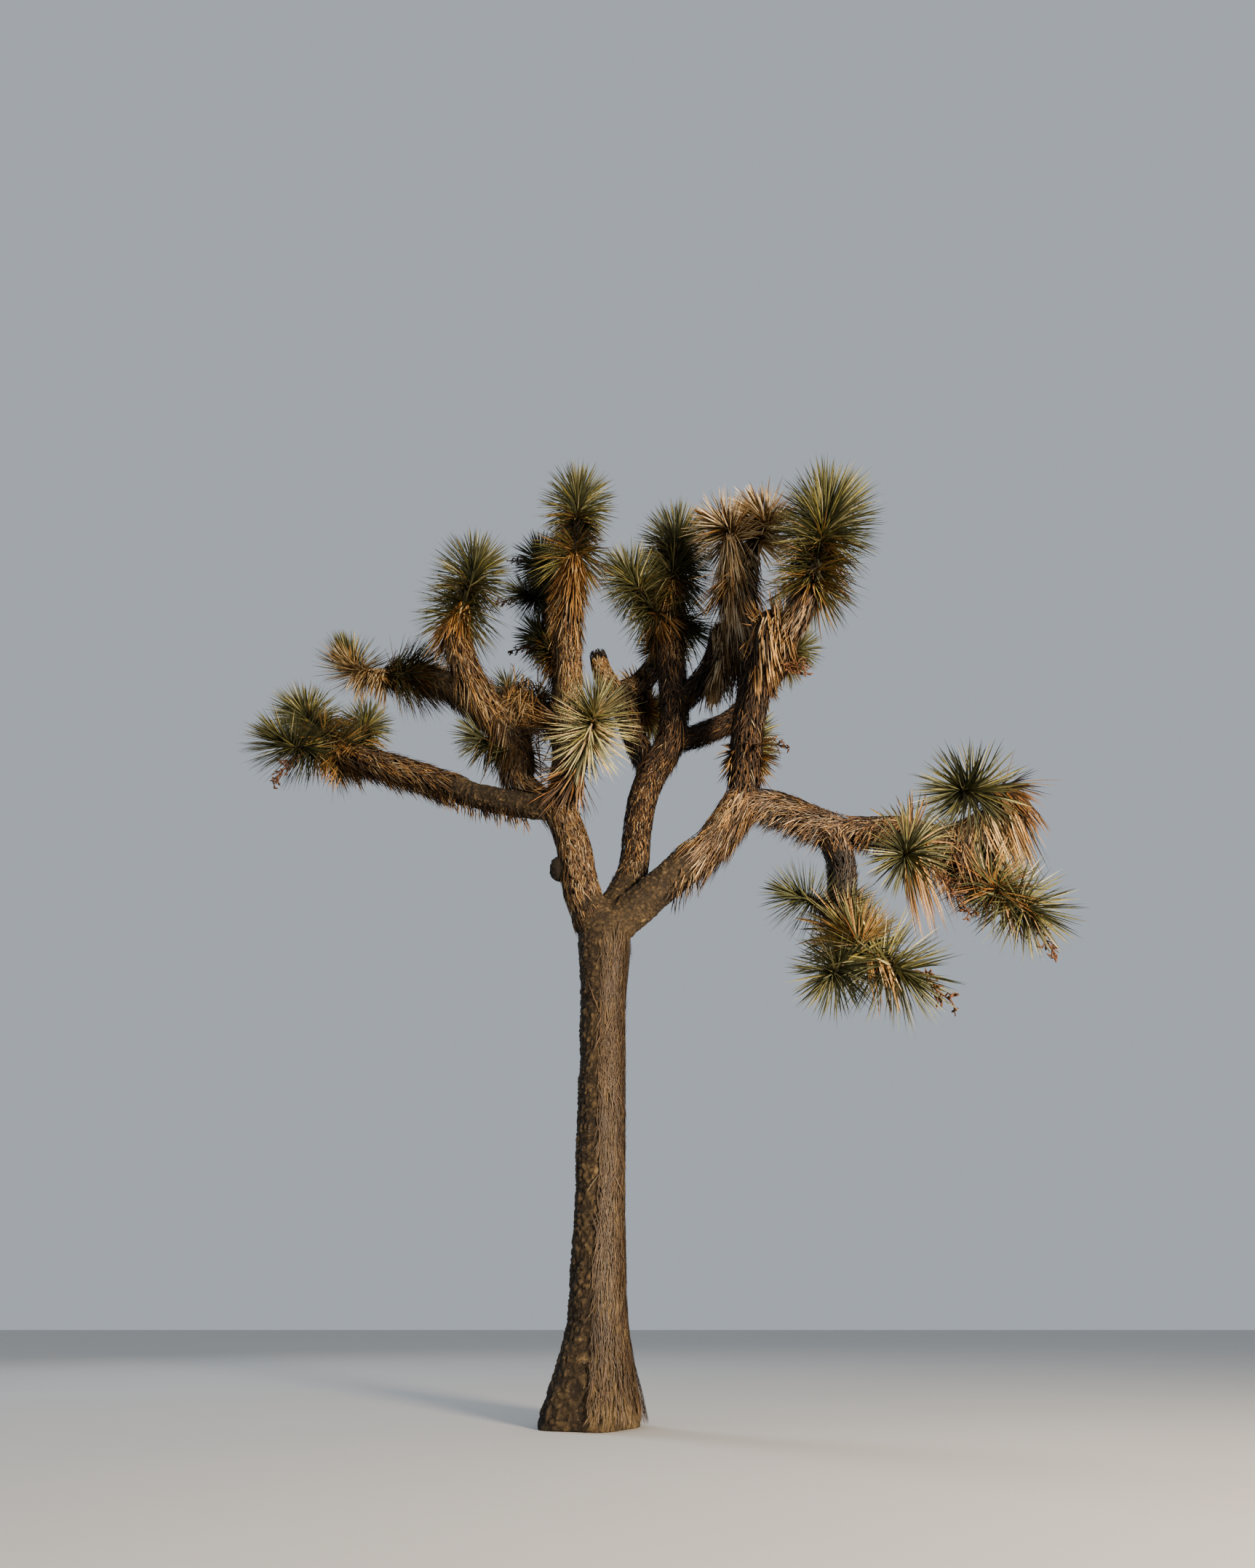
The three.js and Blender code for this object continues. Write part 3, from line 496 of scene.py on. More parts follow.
SHRED_CURL = (-0.002, 0.006)
SHRED_PATCHES = dict(depth=0.5, waves=(3, 0, 2.6), seed=73)
SHRED_PATCH_EDGE = 0.2
SHRED_COVER = (0.05, 0.6)
SLOPE_STEP = 0.05

# Numbers of leaves: in a crown, a whorl and a ruff at the usual reach, and the rest by length
USUAL_REACH = 0.34
CROWN_LEAVES = 460
WHORL_LEAVES = 290
RUFF_LEAVES = 110
SKIRT_PER_METRE = 420
THATCH_PER_METRE = 1800
HANGING_PER_METRE = 900

# A blade: its stations along its length and its width at each, how deeply it is folded, and how
# far its middle and tip stay out of all wood
LIVE_SHAPE = ([0, 0.2, 0.68, 1], [1.25, 0.95, 0.62, 0])
DEAD_SHAPE = ([0, 0.4, 0.8, 1], [1.2, 1, 0.55, 0])
THATCH_SHAPE = ([0, 0.6, 1], [1.1, 0.95, 0])
STRIP_SHAPE = ([0, 0.5, 1], [0.5, 1, 0])
SCALE_SHAPE = ([0, 1], [1, 0])
LEAF_FOLD = 0.34
STRIP_FOLD = 0.2
SCALE_FOLD = 0.12
LEAF_WIDTH = 0.0118
THATCH_WIDTH = 0.0074
CLEAR_AT = (0.55, 1)
LEAF_GAP = 0.004
THATCH_GAP = 0.001
CHUNK = 4000

# Leaves of each kind, from the least to the most: their length and width as shares of the usual,
# and how far the tip bends, as a share of the leaf's own length
CROWN = dict(length=(0.84, 1.06), width=(0.85, 1.15), droop=(0, 0.04))
WHORL = dict(length=(0.74, 1.0), width=(0.85, 1.2), droop=(0.02, 0.1))
RUFF = dict(length=(0.75, 1.05), width=(0.7, 1.05), droop=(0.05, 0.2))
SKIRT = dict(length=(0.6, 1.0), width=(0.75, 1.15), droop=(0.03, 0.16))
CURTAIN = dict(length=(0.5, 1.1), width=(0.65, 1.05), droop=(0, 0.5))
HANGING = dict(length=(0.8, 1.35), width=(0.75, 1.1), droop=(-0.03, 0.06))
THATCHED = dict(length=(0.45, 1.2), upper_width=(0.5, 0.9), lower_width=(0.8, 1.5), droop=(0, 0.1))
TUFT = dict(length=(0.5, 1.05), width=(0.7, 1.1))
FRINGE = dict(length=(0.4, 1.2), width=(0.7, 1.2), droop=0.08)

# Two kinds of head: the shares of the usual number of leaves in its crown, ruff and skirt, the
# stray of its crown's leaves in degrees and their droop, how much the whorl's, ruff's and skirt's
# leaves hang, and the share of their usual length that the ruff's and skirt's have
LIVE_HEAD = dict(
    leaves=1, stray=7, droop=0.025, whorl_hang=0.06, ruff=1, ruff_hang=1, ruff_tones="fresh",
    skirt=1, skirt_hang=0.8, length=1,
)
STRAW_HEAD = dict(
    leaves=0.62, stray=20, droop=0.06, whorl_hang=1.6, ruff=1.7, ruff_hang=2, ruff_tones="hanging",
    skirt=1.6, skirt_hang=1.5, length=1.15,
)
STRAW_WIDER = 1.25
STRAW_SAG = 0.1

# Crown: turns round the stem, angles from it in degrees, and shares of the usual length
SPIRAL = math.radians(137.50776)
SPIRAL_STRAY = 0.14
CROWN_FIRST_LEAN = 4
CROWN_LAST_LEAN = 135
CROWN_LEANS = (2, 150)
CROWN_ROOT = 0.6
CROWN_NARROWS = 0.9
YOUNGEST_LENGTH = 0.78
YOUNGEST_GROWTH = 0.2
YOUNGEST_LEANS = (5, 45)
OLDEST_LOSS = 0.24
OLDEST_LEANS = (100, 132)
OLD_SHARE = 0.75
OLD_STRAY = 9
OLD_LEANS = (108, 134)
DRY_BELOW = -0.05
SHED_FROM = -0.05

# Whorl, ruff and skirt: depths below the top as shares of reach, angles in degrees, and where on
# the stem's radius the leaves start
WHORL_DEPTHS = (0.7, 1.55)
WHORL_STRAY = 10
WHORL_ROOT = 0.7
WHORL_LIFT = 0.1
NECK_DEPTH = 0.9
NECK_LENGTH = 0.62
RUFF_DEPTHS = (1.4, 2.2)
RUFF_LEAN = 150
RUFF_STRAY = 7
RUFF_HANG = (0.05, 0.4)
RUFF_LIFT = 0.16
SKIRT_ROOT = 0.9
SKIRT_FROM = 0.9
SKIRT_STRAY = 9
SKIRT_HANG = (0.1, 0.7)
SKIRT_LIFT = 0.12
FRESH_BEYOND = 0.2

# Curtains, and the heads that hang with a hood of leaves over their start
CURTAIN_GAP = 0.012
CURTAIN_FLARE = (0.2, 1.5)
CURTAIN_SWAY = 0.06
HANGING_CROWDED = 0.9
HANGING_STRAY = 8
HANGING_ROOTS = (0.5, 1)
HANGING_SAG = 0.4
HANGING_END = 0.8
HANGING_END_LENGTHS = (0.8, 1.1)
HOOD_SHARE = 0.25
HOOD_OUT = (1, 1, 0.3)
HOOD_RISE = (0.5, 1.3)
HOOD_LENGTH = 0.62
HOOD_FALL = (1.2, 2)
HOOD_BACK = 0.5

# Thatch: an upper layer of narrow leaves over a lower one of wide ones. Swirl and paler hold the upper
# layer's number first, and the other pairs run from the least to the most. Paler lightens the upper
# layer and darkens the lower one: painted shade under the upper layer.
THATCH_UPPER = 0.45
THATCH_RAGGED = 0.04
THATCH_STAND = (5, 20)
THATCH_LIE = (1, 8)
THATCH_ROOTS = (0.001, 0.009)
THATCH_SWIRL = (0.3, 0.18)
THATCH_UNDERSIDE = (-0.2, 0.8)
THATCH_HANG = (0.1, 1.5)
TOP_HANG = 0.3
UNDER_HANG = 0.7
TOP_LENGTH = 0.7
UNDER_LENGTH = 0.3
THATCH_LIFT = 0.04
THATCH_PATCHES = dict(waves=2.4, seed=41)
THATCH_MOTTLE = 0.3
THATCH_PALER = (0.35, -0.3)
THATCH_LEVELS = (-0.75, 0, 1.6)
THATCH_SETS = ("thatch_deep", "thatch_dark", "thatch_light", "bleached")
# How far the start of a bough's near-black painted shadow wanders
PAINTED_SHADOW_STRAY = 0.03
THATCH_CLING = 0.02
FRINGE_LENGTH = 0.12
FRINGE_SPREAD = 0.7
FRINGE_ROOT = 0.97
FRINGE_OUT = 0.25
FRINGE_BACK = (0, 0.9)
FRINGE_LIFT = 0.12

# A dead flower stalk, its short prongs, and the knobs of old fruit on them
STALK_SIDES = 5
STALK_GIRTH = (0.018, 0.008)
STALK_BOW = {"at": 0.55, "rise": 0.08}
STALK_PRONGS = 20
STALK_PRONGS_FROM = 0.32
PRONG_FORWARD = 0.7
PRONG_LENGTHS = (0.035, 0.1)
PRONG_TAPER = (1.3, 0.7)
PRONG_KINK = 0.006
PRONG_SAG = (-0.03, 0.01)
PRONG_RADII = (0.0045, 0.004, 0.0028)
FRUITS = (1, 4)
FRUIT_FORWARD = 0.5
FRUIT_STRAY = 0.7
FRUIT_SIZES = (0.005, 0.0085)
FRUIT_STATIONS = (0, 0.8, 2.2, 4.2)
FRUIT_RADII = (0.4, 0.95, 0.8, 0.15)

# Tones of the leaves and bark, as base colours
TONE_COLOURS = {
    "green_deep": (0.05, 0.056, 0.028),
    "green_olive": (0.1, 0.1, 0.045),
    "green_grey": (0.15, 0.155, 0.09),
    "green_yellow": (0.24, 0.215, 0.075),
    "green_pale": (0.42, 0.39, 0.22),
    "straw_bleached": (0.6, 0.49, 0.33),
    "straw_pale": (0.46, 0.345, 0.205),
    "straw_gold": (0.34, 0.205, 0.085),
    "straw_orange": (0.25, 0.12, 0.042),
    "straw_brown": (0.14, 0.08, 0.04),
    "straw_dark": (0.045, 0.027, 0.017),
    # Near-black straw: painted shade, for thatch in shadow
    "straw_char": (0.014, 0.01, 0.008),
    "straw_grey": (0.22, 0.175, 0.12),
    "bark_tan": (0.1, 0.063, 0.033),
    "bark_brown": (0.06, 0.041, 0.023),
}
STALK_COLOUR = (0.1, 0.045, 0.02)
LEAF_ROUGHNESS = 0.6
STALK_ROUGHNESS = 0.75
BARK_ROUGHNESS = 0.9

# Sets of tones that leaves and bark are dealt from, with the share of each tone
TONES = list(TONE_COLOURS)
TONE_SETS = {
    "young": dict(green_deep=0.34, green_olive=0.34, green_grey=0.18, green_yellow=0.09, green_pale=0.05),
    "old": dict(straw_gold=0.3, straw_brown=0.35, straw_dark=0.1, green_yellow=0.25),
    "deep": dict(green_deep=0.66, green_olive=0.26, green_grey=0.08),
    # Pale green and straw: painted light on the front head's lower leaves
    "pale": dict(green_pale=0.5, green_grey=0.2, green_yellow=0.1, straw_pale=0.2),
    "gold": dict(green_yellow=0.3, straw_gold=0.3, straw_orange=0.12, green_olive=0.18, straw_pale=0.1),
    "dusk": dict(green_deep=0.3, green_olive=0.22, straw_gold=0.2, straw_orange=0.18, straw_brown=0.1),
    "whorl": dict(green_deep=0.22, green_olive=0.32, green_yellow=0.14, straw_gold=0.16, straw_brown=0.16),
    "neck": dict(green_deep=0.4, green_olive=0.15, straw_dark=0.2, straw_brown=0.25),
    "straw": dict(
        straw_bleached=0.42, straw_pale=0.24, straw_gold=0.08, straw_brown=0.12, green_olive=0.14,
    ),
    # Bleached straw made paler still: painted light
    "straw_with_painted_light": dict(straw_bleached=0.5, straw_pale=0.28, straw_gold=0.16, straw_brown=0.06),
    "bleached": dict(straw_bleached=0.34, straw_pale=0.3, straw_gold=0.2, straw_brown=0.16),
    "tan": dict(straw_bleached=0.08, straw_pale=0.3, straw_gold=0.3, straw_brown=0.22, straw_dark=0.1),
    "fresh": dict(straw_gold=0.4, straw_orange=0.25, straw_pale=0.12, straw_brown=0.23),
    "amber": dict(straw_gold=0.42, straw_orange=0.26, straw_pale=0.2, straw_brown=0.12),
    "dead": dict(straw_pale=0.2, straw_gold=0.27, straw_brown=0.28, straw_grey=0.12, straw_dark=0.13),
    "hanging": dict(straw_pale=0.22, straw_gold=0.34, straw_brown=0.28, straw_grey=0.08, straw_dark=0.08),
    "sere": dict(straw_brown=0.42, straw_orange=0.2, straw_dark=0.24, straw_gold=0.14),
    # Dark brown dead leaves, their near-black share partly painted shade
    "umber": dict(straw_dark=0.46, straw_brown=0.36, straw_orange=0.1, straw_gold=0.08),
    "thatch_light": dict(
        straw_pale=0.15, straw_gold=0.24, straw_grey=0.2, straw_brown=0.29, straw_dark=0.12,
    ),
    "thatch_dark": dict(
        straw_brown=0.42, straw_dark=0.28, straw_grey=0.16, straw_gold=0.1, straw_pale=0.04,
    ),
    "thatch_deep": dict(straw_char=0.3, straw_dark=0.52, straw_brown=0.18),
    # Near-black thatch: painted shadow
    "painted_shadow": dict(straw_char=0.85, straw_dark=0.15),
    "scales": dict(bark_tan=0.07, bark_brown=0.46, straw_dark=0.47),
    "shreds": dict(bark_tan=0.3, bark_brown=0.38, straw_dark=0.32),
}

# Patterns of colour: places on a noise or on the relief, and the colour at each. A noise has its
# waves to the metre, its detail and its roughness.
LEAF_PATCHES = [(0.3, (0.72, 0.72, 0.74)), (0.7, (1.22, 1.2, 1.12))]
LEAF_STREAKS = [(0.32, (0.7, 0.68, 0.64)), (0.68, (1.2, 1.2, 1.2))]
LEAF_DRIFTS = [(3.5, LEAF_PATCHES), (75, LEAF_STREAKS)]
LEAF_GRAIN = 130
LEAF_BUMP = dict(distance=0.002, strength=0.4)
BARK_BROWNS = [(0.3, (0.034, 0.023, 0.013)), (0.5, (0.062, 0.044, 0.024)), (0.72, (0.11, 0.08, 0.045))]
# By the relief's height: cracks darker and plates paler, partly the bark's own colour and partly painted
# shade and painted light
BARK_DEPTHS = [(0.0, (0.16, 0.14, 0.12)), (0.45, (0.8, 0.78, 0.74)), (1.0, (1.7, 1.68, 1.6))]
BARK_SPECKS = [(0.35, (0.55, 0.52, 0.5)), (0.62, (1.3, 1.28, 1.2))]
BARK_BROWN_NOISE = (7, 5)
BARK_SPECK_NOISE = (140, 4, 0.7)
BARK_GRAIN_NOISE = (210, 5, 0.7)
BARK_BUMP = dict(distance=0.004, strength=0.7)
BARK_HEIGHTS = (-0.9, 1.1)

# Stage
FLOOR_SIZE = 160
FLOOR_DROP = 0.0005
FLOOR_COLOUR = (0.62, 0.6, 0.57)
FLOOR_DARKER = 0.97
FLOOR_NOISE = (0.8, 4)
FLOOR_ROUGHNESS = 0.9
ROOM_COLOUR = (0.72, 0.78, 0.86)
ROOM_LIGHT = 0.5
KEY_PLACE = (4.4, -6.6, 1.3)
LIGHT_AIM = (0.1, 0, 3.8)
KEY_SIZE = 1.6
KEY_POWER = 1700
KEY_COLOUR = (1.0, 0.84, 0.64)
RIM_PLACE = (-5.5, 4.5, 8)
RIM_SIZE = 3
RIM_POWER = 250
RIM_COLOUR = (0.8, 0.88, 1.0)

DOWN = np.array([0.0, 0.0, -1.0])


def seeded(name):
    """A chain of random numbers that is the same every run, one for each name."""
    return np.random.default_rng(sum(ord(letter) * (place + 1) for place, letter in enumerate(name)))


def unit(vectors):
    return vectors / np.maximum(np.linalg.norm(vectors, axis=-1, keepdims=True), 1e-9)


def smoothstep(value, low, high):
    share = np.clip((value - low) / (high - low), 0, 1)
    return share * share * (3 - 2 * share)


def lattice_noise(points, seed):
    """Smooth noise from -1 to 1 with one cell to the unit."""
    cell = np.floor(points).astype(np.int64)
    part = points - cell
    part = part * part * (3 - 2 * part)
    total = np.zeros(len(points))
    for corner in np.ndindex(2, 2, 2):
        x, y, z = (cell + np.array(corner)).T
        mixed = (x * 374761393 + y * 668265263 + z * 2147483647 + seed * 1274126177) & 0xFFFFFFFF
        mixed = ((mixed ^ (mixed >> 13)) * 1274126177) & 0xFFFFFFFF
        value = ((mixed ^ (mixed >> 16)) & 0xFFFF) / 32767.5 - 1
        total += value * np.prod(np.where(corner, part, 1 - part), axis=1)
    return total


def rough_noise(points, pattern):
    """Noise by a pattern's waves to the metre and its seed, with finer noise over it."""
    points = points * pattern["waves"] + pattern.get("shift", 0)
    finer = lattice_noise(points * 2, pattern["seed"] + 1)
    return (lattice_noise(points, pattern["seed"]) + finer / 2) / ROUGHEST


class Limb:
    """A curve with even stops along it, and at each stop its way, its side and its wood's radius."""

    def __init__(self, points, core):
        self.points = spline(points)
        self.ways = unit(np.gradient(self.points, axis=0))
        self.sides = carried_sides(self.ways)
        self.fronts = np.cross(self.ways, self.sides)
        self.length = np.linalg.norm(np.diff(self.points, axis=0), axis=1).sum()
        self.shares = np.linspace(0, 1, len(self.points))
        self.core = core(self.shares, self.length)

    def at(self, share, *lists):
        """The values of some of the limb's lists at shares of the way along it."""
        found = []
        for values in lists:
            columns = values.reshape(len(values), -1).T
            found.append(np.column_stack([np.interp(share, self.shares, column) for column in columns]))
        return found

    def start(self, share):
        return self.at([share], self.points)[0][0]


def spline(points):
    """Even stops along the centripetal curve through the points."""
    points = np.array(points, float)
    knots = np.vstack([2 * points[0] - points[1], points, 2 * points[-1] - points[-2]])
    dense = []
    t = np.linspace(0, 1, SPAN_STOPS, endpoint=False)[:, None]
    for before, start, end, after in zip(knots, knots[1:], knots[2:], knots[3:]):
        first, here, last = (
            math.sqrt(math.dist(*pair)) for pair in ((before, start), (start, end), (end, after))
        )
        slope_in = (start - before) / first - (end - before) / (first + here) + (end - start) / here
        slope_out = (end - start) / here - (after - start) / (here + last) + (after - end) / last
        dense.append(
            (2 * t**3 - 3 * t**2 + 1) * start + (t**3 - 2 * t**2 + t) * slope_in * here
            + (3 * t**2 - 2 * t**3) * end + (t**3 - t**2) * slope_out * here
        )
    dense = np.vstack([*dense, points[-1:]])
    travelled = distances(dense)
    places = np.linspace(0, travelled[-1], max(LEAST_STOPS, round(travelled[-1] / STOP)) + 1)
    return np.column_stack([np.interp(places, travelled, column) for column in dense.T])


def distances(line):
    """How far along a line each of its points is."""
    return np.concatenate([[0], np.cumsum(np.linalg.norm(np.diff(line, axis=0), axis=1))])


def carried_sides(ways):
    """A side for each way, carried along the curve without turning round it."""
    side = unit(np.cross(ways[0], FIRST_SIDE))
    sides = []
    for way in ways:
        side = unit(side - way * side.dot(way))
        sides.append(side)
    return np.array(sides)


def thatch_of(name):
    return {**MOST_THATCH, **THATCH.get(name, {})}


def trunk_radius(height):
    return np.interp(height, *zip(*TRUNK_GIRTHS)) / 2


def trunk_core(share, length):
    return trunk_radius(share * TRUNK_TOP)


def girth_radius(girth, share):
    return np.interp(share, np.linspace(0, 1, len(girth)), girth) / 2


def bough_core(name, row):
    """Bare wood fills a bough's girth, and thatched wood leaves room for its leaves."""
    bare = thatch_of(name)["bare"]

    def core(share, length):
        covered = smoothstep(share, bare - BARE_BLEND, bare + BARE_BLEND) if bare else 1.0
        return girth_radius(row["girth"], share) * (1 - (1 - THATCH_CORE) * covered)

    return core


def stem_core(row, parent_core):
    """A stem starts with its bough's radius, or with a third of its leaves' reach if that is less."""
    start = min(parent_core, row["reach"] / 3)

    def core(share, length):
        if "hanging" in row:
            return HANGING_CORE * girth_radius(row["hanging"], share)
        depth = (1 - share) * length / row["reach"]
        full = row["reach"] * np.interp(depth, [0, 1], [STEM_TIP_CORE, STEM_CORE])
        return start + (full - start) * smoothstep(share, 0, STEM_BLEND)

    return core


def lay_out_limbs():
    """Every limb, the trunk first and the stems of the heads last."""
    route = [(0, 0, 0), (TRUNK_SHIFT, 0, FOOT_HEIGHT), (TRUNK_SHIFT, 0, TRUNK_TOP)]
    limbs = {"trunk": Limb(route, trunk_core)}
    for name, row in {**BOUGHS, **HEADS}.items():
        parent = limbs[row["on"]]
        if name in BOUGHS:
            core = bough_core(name, row)
        else:
            core = stem_core(row, parent.at([row["at"]], parent.core)[0][0, 0])
        limbs[name] = Limb([parent.start(row["at"]), *row["route"]], core)
    return limbs


def main_of(name):
    """The main bough that a limb grows from: left, middle or right."""
    rows = {**BOUGHS, **HEADS}
    while rows[name]["on"] != "trunk":
        name = rows[name]["on"]
    return name.split("_")[1]


def make_mesh(name, points, faces, tones, looks):
    """An object of the points and faces. Faces are equal rows of corners, and tones their looks."""
    mesh = bpy.data.meshes.new(name)
    mesh.vertices.add(len(points))
    mesh.vertices.foreach_set("co", np.asarray(points, np.float32).ravel())
    mesh.loops.add(sum(rows.size for rows in faces))
    corners = np.concatenate([rows.ravel() for rows in faces])
    mesh.loops.foreach_set("vertex_index", corners.astype(np.int32))
    sizes = np.concatenate([np.full(len(rows), rows.shape[1]) for rows in faces])
    starts = np.concatenate([[0], np.cumsum(sizes)[:-1]])
    mesh.polygons.add(len(sizes))
    mesh.polygons.foreach_set("loop_start", starts.astype(np.int32))
    mesh.polygons.foreach_set("material_index", np.concatenate(tones).astype(np.int32))
    for look in looks:
        mesh.materials.append(look)
    mesh.update(calc_edges=True)
    piece = bpy.data.objects.new(name, mesh)
    bpy.context.scene.collection.objects.link(piece)
    return piece


class Blades:
    """A growing list of folded blades of one shape that end in one mesh."""

    def __init__(self, shape, fold):
        self.stations, self.widths = (np.array(values, float) for values in shape)
        self.fold = fold
        self.rows = []

    def add(self, roots, aims, faces_up, lengths, widths, bends, tones):
        """One blade for each root: bends move its tip by that much, more and more along it."""
        sides = unit(np.cross(aims, faces_up))
        ups = np.cross(sides, aims)
        t = self.stations[None, :, None]
        middles = roots[:, None] + aims[:, None] * lengths[:, None, None] * t + bends[:, None] * t * t
        half = (self.widths[None, :] * widths[:, None] / 2)[:, :-1, None]
        edges = half * sides[:, None]
        lift = 2 * half * self.fold * ups[:, None]
        rows = middles[:, :-1]
        points = np.stack([rows - edges + lift, rows, rows + edges + lift], axis=2)
        self.rows.append((points.reshape(len(roots), 3 * rows.shape[1], 3), middles[:, -1:], tones))

    def make(self, name, looks):
        points = np.concatenate([np.concatenate(row[:2], axis=1) for row in self.rows])
        tones = np.concatenate([row[2] for row in self.rows])
        stops = len(self.stations) - 1
        low = 3 * np.arange(stops - 1)[:, None, None] + np.arange(2)[None, :, None]
        quads = (low + np.array([0, 1, 4, 3])[None, None]).reshape(-1, 4)
        end = 3 * (stops - 1)
        tips = np.array([[end, end + 1, end + 3], [end + 1, end + 2, end + 3]])
        starts = (np.arange(len(points)) * points.shape[1])[:, None, None]
        faces = [(starts + rows[None]).reshape(-1, rows.shape[1]) for rows in (quads, tips)]
        dealt = [np.repeat(tones, len(rows)) for rows in (quads, tips)]
        return make_mesh(name, points.reshape(-1, 3), faces, dealt, looks)


class Tubes:
    """A growing list of closed tubes that end in one mesh."""

    def __init__(self, sides):
        self.sides = sides
        self.points = []
        self.faces = []
        self.count = 0

    def add(self, middles, radii):
        """A tube round a line of middles, closed at either end."""
        ways = unit(np.gradient(middles, axis=0))
        sides = carried_sides(ways)
        fronts = np.cross(ways, sides)
        turns = np.linspace(0, 2 * math.pi, self.sides, endpoint=False)[None, :, None]
        rings = np.cos(turns) * sides[:, None] + np.sin(turns) * fronts[:, None]
        self.add_rings(middles[:, None] + rings * radii[:, None, None], middles[0], middles[-1])

    def add_rings(self, rings, start, end):
        points = np.vstack([rings.reshape(-1, 3), start, end])
        low = np.arange(len(rings) - 1)[:, None] * self.sides
        here = np.arange(self.sides)
        after = (here + 1) % self.sides
        above = self.sides
        quads = np.stack([low + here, low + after, low + after + above, low + here + above], -1)
        last = (len(rings) - 1) * self.sides
        closes = np.array([[len(points) - 2], [len(points) - 1]]) + np.zeros((1, self.sides), int)
        caps = np.vstack([
            np.column_stack([after, here, closes[0]]),
            np.column_stack([last + here, last + after, closes[1]]),
        ])
        self.points.append(points)
        self.faces.append((quads.reshape(-1, 4) + self.count, caps + self.count))
        self.count += len(points)

    def make(self, name, looks):
        faces = [np.vstack(rows) for rows in zip(*self.faces)]
        tones = [np.zeros(len(rows)) for rows in faces]
        return make_mesh(name, np.vstack(self.points), faces, tones, looks)


def closed_radii(radii, middles):
    """The radii of a tube whose far end is rounded like a ball."""
    travelled = distances(middles)
    share = np.clip((travelled[-1] - travelled) / np.maximum(radii, 1e-4), END_SHARE, 1)
    return radii * np.sqrt(1 - (1 - share) ** 2)


def add_limb(tubes, limb, low, high, size=1.0):
    kept = (limb.shares >= low - 1e-6) & (limb.shares <= high + 1e-6)
    middles = limb.points[kept]
    tubes.add(middles, closed_radii(limb.core[kept] * size, middles))


def trunk_rings():
    """The trunk with its foot spread to the left and drawn out into lobes."""
    turns = np.linspace(0, 2 * math.pi, TUBE_SIDES, endpoint=False)
    heights = np.arange(0, TRUNK_TOP + STOP, STOP)
    radii = trunk_radius(heights)[:, None]
    foot = (1 - np.clip(heights / FOOT_HEIGHT, 0, 1))[:, None]
    lobes = 1 + FOOT_LOBE_DEPTH * foot * (np.cos(FOOT_LOBES * turns) - 1)
    x = radii * lobes * np.cos(turns)
    y = radii * lobes * np.sin(turns)
    flare = foot * np.maximum(0, -x) / trunk_radius(0)
    x = x + TRUNK_SHIFT * (1 - foot) - FOOT_LEAN * flare / 2
    return np.stack([x, y, np.broadcast_to(heights[:, None], x.shape)], axis=-1)


def remeshed(tubes, voxel):
    """The points and quads of the tubes, joined into one skin with a grain of a voxel."""
    piece = tubes.make("skin", [])
    remesh = piece.modifiers.new("skin", "REMESH")
    remesh.mode = "VOXEL"
    remesh.voxel_size = voxel
    view = bpy.context.evaluated_depsgraph_get()
    mesh = bpy.data.meshes.new_from_object(piece.evaluated_get(view))
    points = np.empty(len(mesh.vertices) * 3, np.float32)
    mesh.vertices.foreach_get("co", points)
    corners = np.empty(len(mesh.loops), np.int32)
    mesh.loops.foreach_get("vertex_index", corners)
    bpy.data.objects.remove(piece)
    return outer_skin(points.reshape(-1, 3).astype(float), corners.reshape(-1, 4))


def edge_pairs(quads):
    return np.vstack([quads[:, [k, (k + 1) % 4]] for k in range(4)])


def outer_skin(points, quads):
    """Only outer skins: hollows that the joining left inside them, and crumbs, are dropped."""
    group = np.arange(len(points))
    pairs = edge_pairs(quads)
    while True:
        lowest = group.copy()
        np.minimum.at(lowest, pairs[:, 0], group[pairs[:, 1]])
        np.minimum.at(lowest, pairs[:, 1], group[pairs[:, 0]])
        lowest = lowest[lowest]
        if np.array_equal(lowest, group):
            break
        group = lowest
    a, b, c, d = (points[quads[:, k]] for k in range(4))
    volumes = ((a * np.cross(b, c)).sum(1) + (a * np.cross(c, d)).sum(1)) / 6
    inside = np.bincount(group[quads[:, 0]], volumes, len(points))
    kept = inside[group] > LEAST_VOLUME
    order = np.cumsum(kept) - 1
    return points[kept], order[quads[kept[quads[:, 0]]]]


def smoothed(points, quads, rounds):
    """The points drawn halfway to the middle of their neighbours, some rounds over."""
    pairs = edge_pairs(quads)
    degree = np.bincount(pairs.ravel(), minlength=len(points))[:, None]
    for turn in range(rounds):
        total = [
            np.bincount(pairs[:, 0], column[pairs[:, 1]], len(points))
            + np.bincount(pairs[:, 1], column[pairs[:, 0]], len(points))
            for column in points.T
        ]
        points = points + 0.5 * (np.column_stack(total) / degree - points)
    return points


def face_normals(points, quads):
    a, b, c, d = (points[quads[:, k]] for k in range(4))
    return unit(np.cross(c - a, d - b))


def skin_normals(points, quads):
    total = [
        sum(np.bincount(quads[:, corner], column, len(points)) for corner in range(4))
        for column in face_normals(points, quads).T
    ]
    return unit(np.column_stack(total))


